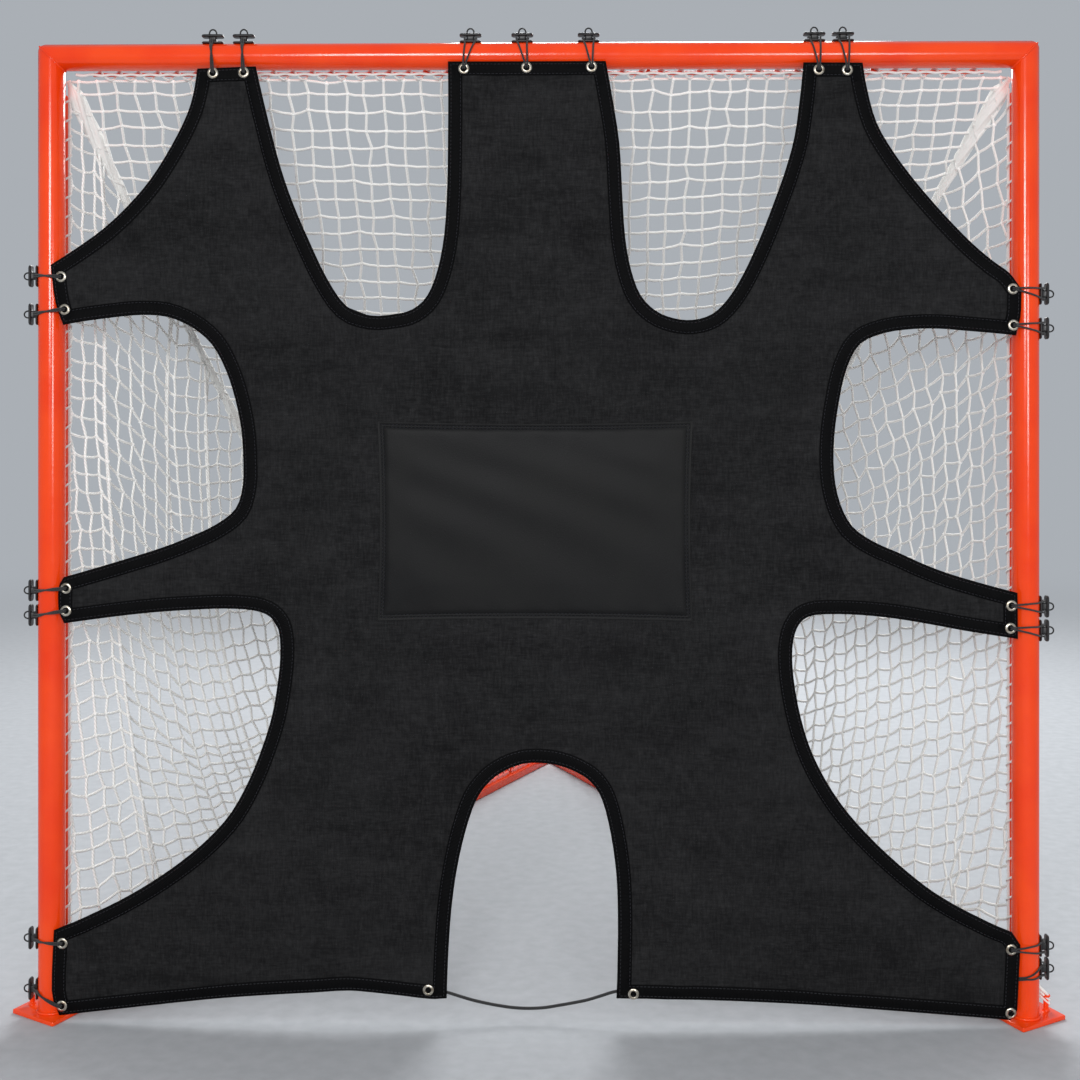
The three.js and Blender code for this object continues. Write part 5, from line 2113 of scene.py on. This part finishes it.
@dataclass
class Studio:
    """The camera, the pale floor that fades into a pale backdrop, and soft lights."""

    lines: Lines
    place: tuple[float, float, float] = (0.060, -2.694, 1.127)  # X, Y from the goal line and Z
    yaw: float = math.radians(0.8)
    lens: float = 46.53
    shift: tuple[float, float] = (-0.0073, -0.0991)
    backdrop: str = "#aaafb5"
    floor: tuple[str, str] = ("#a8acb1", "#b1b5ba")
    floor_size: float = 60.0
    fade: tuple[float, float] = (2.2, 9.0)  # where the floor starts to take the backdrop's colour and has it
    glow: float = 0.64

    def link(self, name: str, data: bpy.types.ID) -> bpy.types.Object:
        """Puts data in the scene.

        Args:
            name: The new object's name.
            data: What it holds.

        Returns:
            The object.
        """
        made = bpy.data.objects.new(name, data)
        bpy.context.scene.collection.objects.link(made)
        return made

    def build_camera(self) -> None:
        """Makes the camera where the photograph was taken from, level and turned a little to the left."""
        camera = self.link("camera", bpy.data.cameras.new("camera"))
        x, y, z = self.place
        camera.location = (x, self.lines.goal + y, z)
        camera.rotation_euler = (math.pi / 2, 0.0, self.yaw)
        camera.data.lens = self.lens
        camera.data.sensor_width = 36.0
        camera.data.shift_x, camera.data.shift_y = self.shift
        camera.data.clip_end = 200.0
        bpy.context.scene.camera = camera

    def shown(self, add: Adder) -> Node:
        """Tells rays that see a surface from those that it lights.

        Args:
            add: Adds a node to the tree.

        Returns:
            A node that is 1 for rays from the camera, off gloss or through glass, and 0 for others.
        """
        rays = add("LightPath").outputs
        gloss = add("Math", {0: rays["Is Camera Ray"], 1: rays["Is Glossy Ray"]}, operation="MAXIMUM")
        return add("Math", {0: gloss, 1: rays["Is Transmission Ray"]}, operation="MAXIMUM")

    def build_floor(self) -> None:
        """Makes the floor: pale and matt near the goal, and past a few metres the backdrop's own colour."""
        mesh = bpy.data.meshes.new("floor")
        corners = rectangle(2 * self.floor_size, 2 * self.floor_size)
        mesh.from_pydata([(x, y, 0.0) for x, y in corners.tolist()], [], [(0, 1, 2, 3)])
        floor = self.link("floor", mesh)
        material = bpy.data.materials.new("painted_studio_floor")
        material.use_nodes = True
        material.node_tree.nodes.clear()
        add = partial(add_node, material.node_tree)
        place = add("TexCoord").outputs["Object"]
        away = add("VectorMath", {0: place}, operation="LENGTH").outputs["Value"]
        limits = {"Value": away, "From Min": self.fade[0], "From Max": self.fade[1]}
        fade = add("MapRange", limits, interpolation_type="SMOOTHERSTEP")
        seen = add("Math", {0: fade, 1: self.shown(add)}, operation="MULTIPLY")
        grain = add("TexNoise", {"Vector": place, "Scale": 30.0, "Detail": 6.0})
        colour = add("ValToRGB", {"Fac": grain}, list(zip((0.3, 0.7), self.floor)))
        matt = add("BsdfPrincipled", {"Base Color": colour, "Roughness": 0.9})
        glow = add("Emission", {"Color": linear(self.backdrop)})
        mixed = add("MixShader", {0: seen, 1: matt, 2: glow})
        add("OutputMaterial", {"Surface": mixed})
        mesh.materials.append(material)

    def build_world(self) -> None:
        """Makes the world: the backdrop's colour where it is seen, and even pale light elsewhere."""
        world = bpy.data.worlds.new("studio")
        world.use_nodes = True
        world.node_tree.nodes.clear()
        add = partial(add_node, world.node_tree)
        seen = add("Background", {"Color": linear(self.backdrop)})
        light = add("Background", {"Color": linear("#ffffff"), "Strength": self.glow})
        mixed = add("MixShader", {0: self.shown(add), 1: light, 2: seen})
        add("OutputWorld", {"Surface": mixed})
        bpy.context.scene.world = world

    def build_light(
        self, name: str, place: Sequence[float], aim: Sequence[float], size: float, power: float
    ) -> None:
        """Makes one soft square light.

        Args:
            name: Its name.
            place: Where it stands, with Y from the goal line.
            aim: What it points at, with Y from the goal line.
            size: Its side.
            power: Its power in watts.
        """
        data = bpy.data.lights.new(name, "AREA")
        data.shape = "SQUARE"
        data.size = size
        data.energy = power
        light = self.link(name, data)
        light.location = Vector(place) + Vector((0, self.lines.goal, 0))
        light.rotation_euler = (Vector(aim) - Vector(place)).to_track_quat("-Z", "Y").to_euler()

    def build(self) -> None:
        """Makes the floor, the world and the lights."""
        self.build_floor()
        self.build_world()
        self.build_light("key", (-0.7, -4.3, 2.1), (0, 0.3, 1.0), 1.0, 80)
        self.build_light("fill", (1.3, -4.4, 1.5), (0, 0.3, 1.0), 0.9, 44)
        self.build_light("back", (0.6, 4.6, 4.4), (0, 0.8, 0.9), 2.4, 290)


def main() -> None:
    """Builds the goal, its target and the studio."""
    logging.basicConfig(level=logging.INFO, format="%(name)s: %(message)s")
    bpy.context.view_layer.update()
    bpy.context.scene.view_settings.view_transform = "Standard"
    lines = Lines.read()
    studio = Studio(lines)
    studio.build_camera()
    ArchCord().build()
    SteelFrame(lines).build()
    Netting(lines, Drape(lines)).build()
    pattern = Pattern.read()
    Target(pattern).build()
    Ties(lines, pattern).build()
    studio.build()


if __name__ == "__main__":
    main()
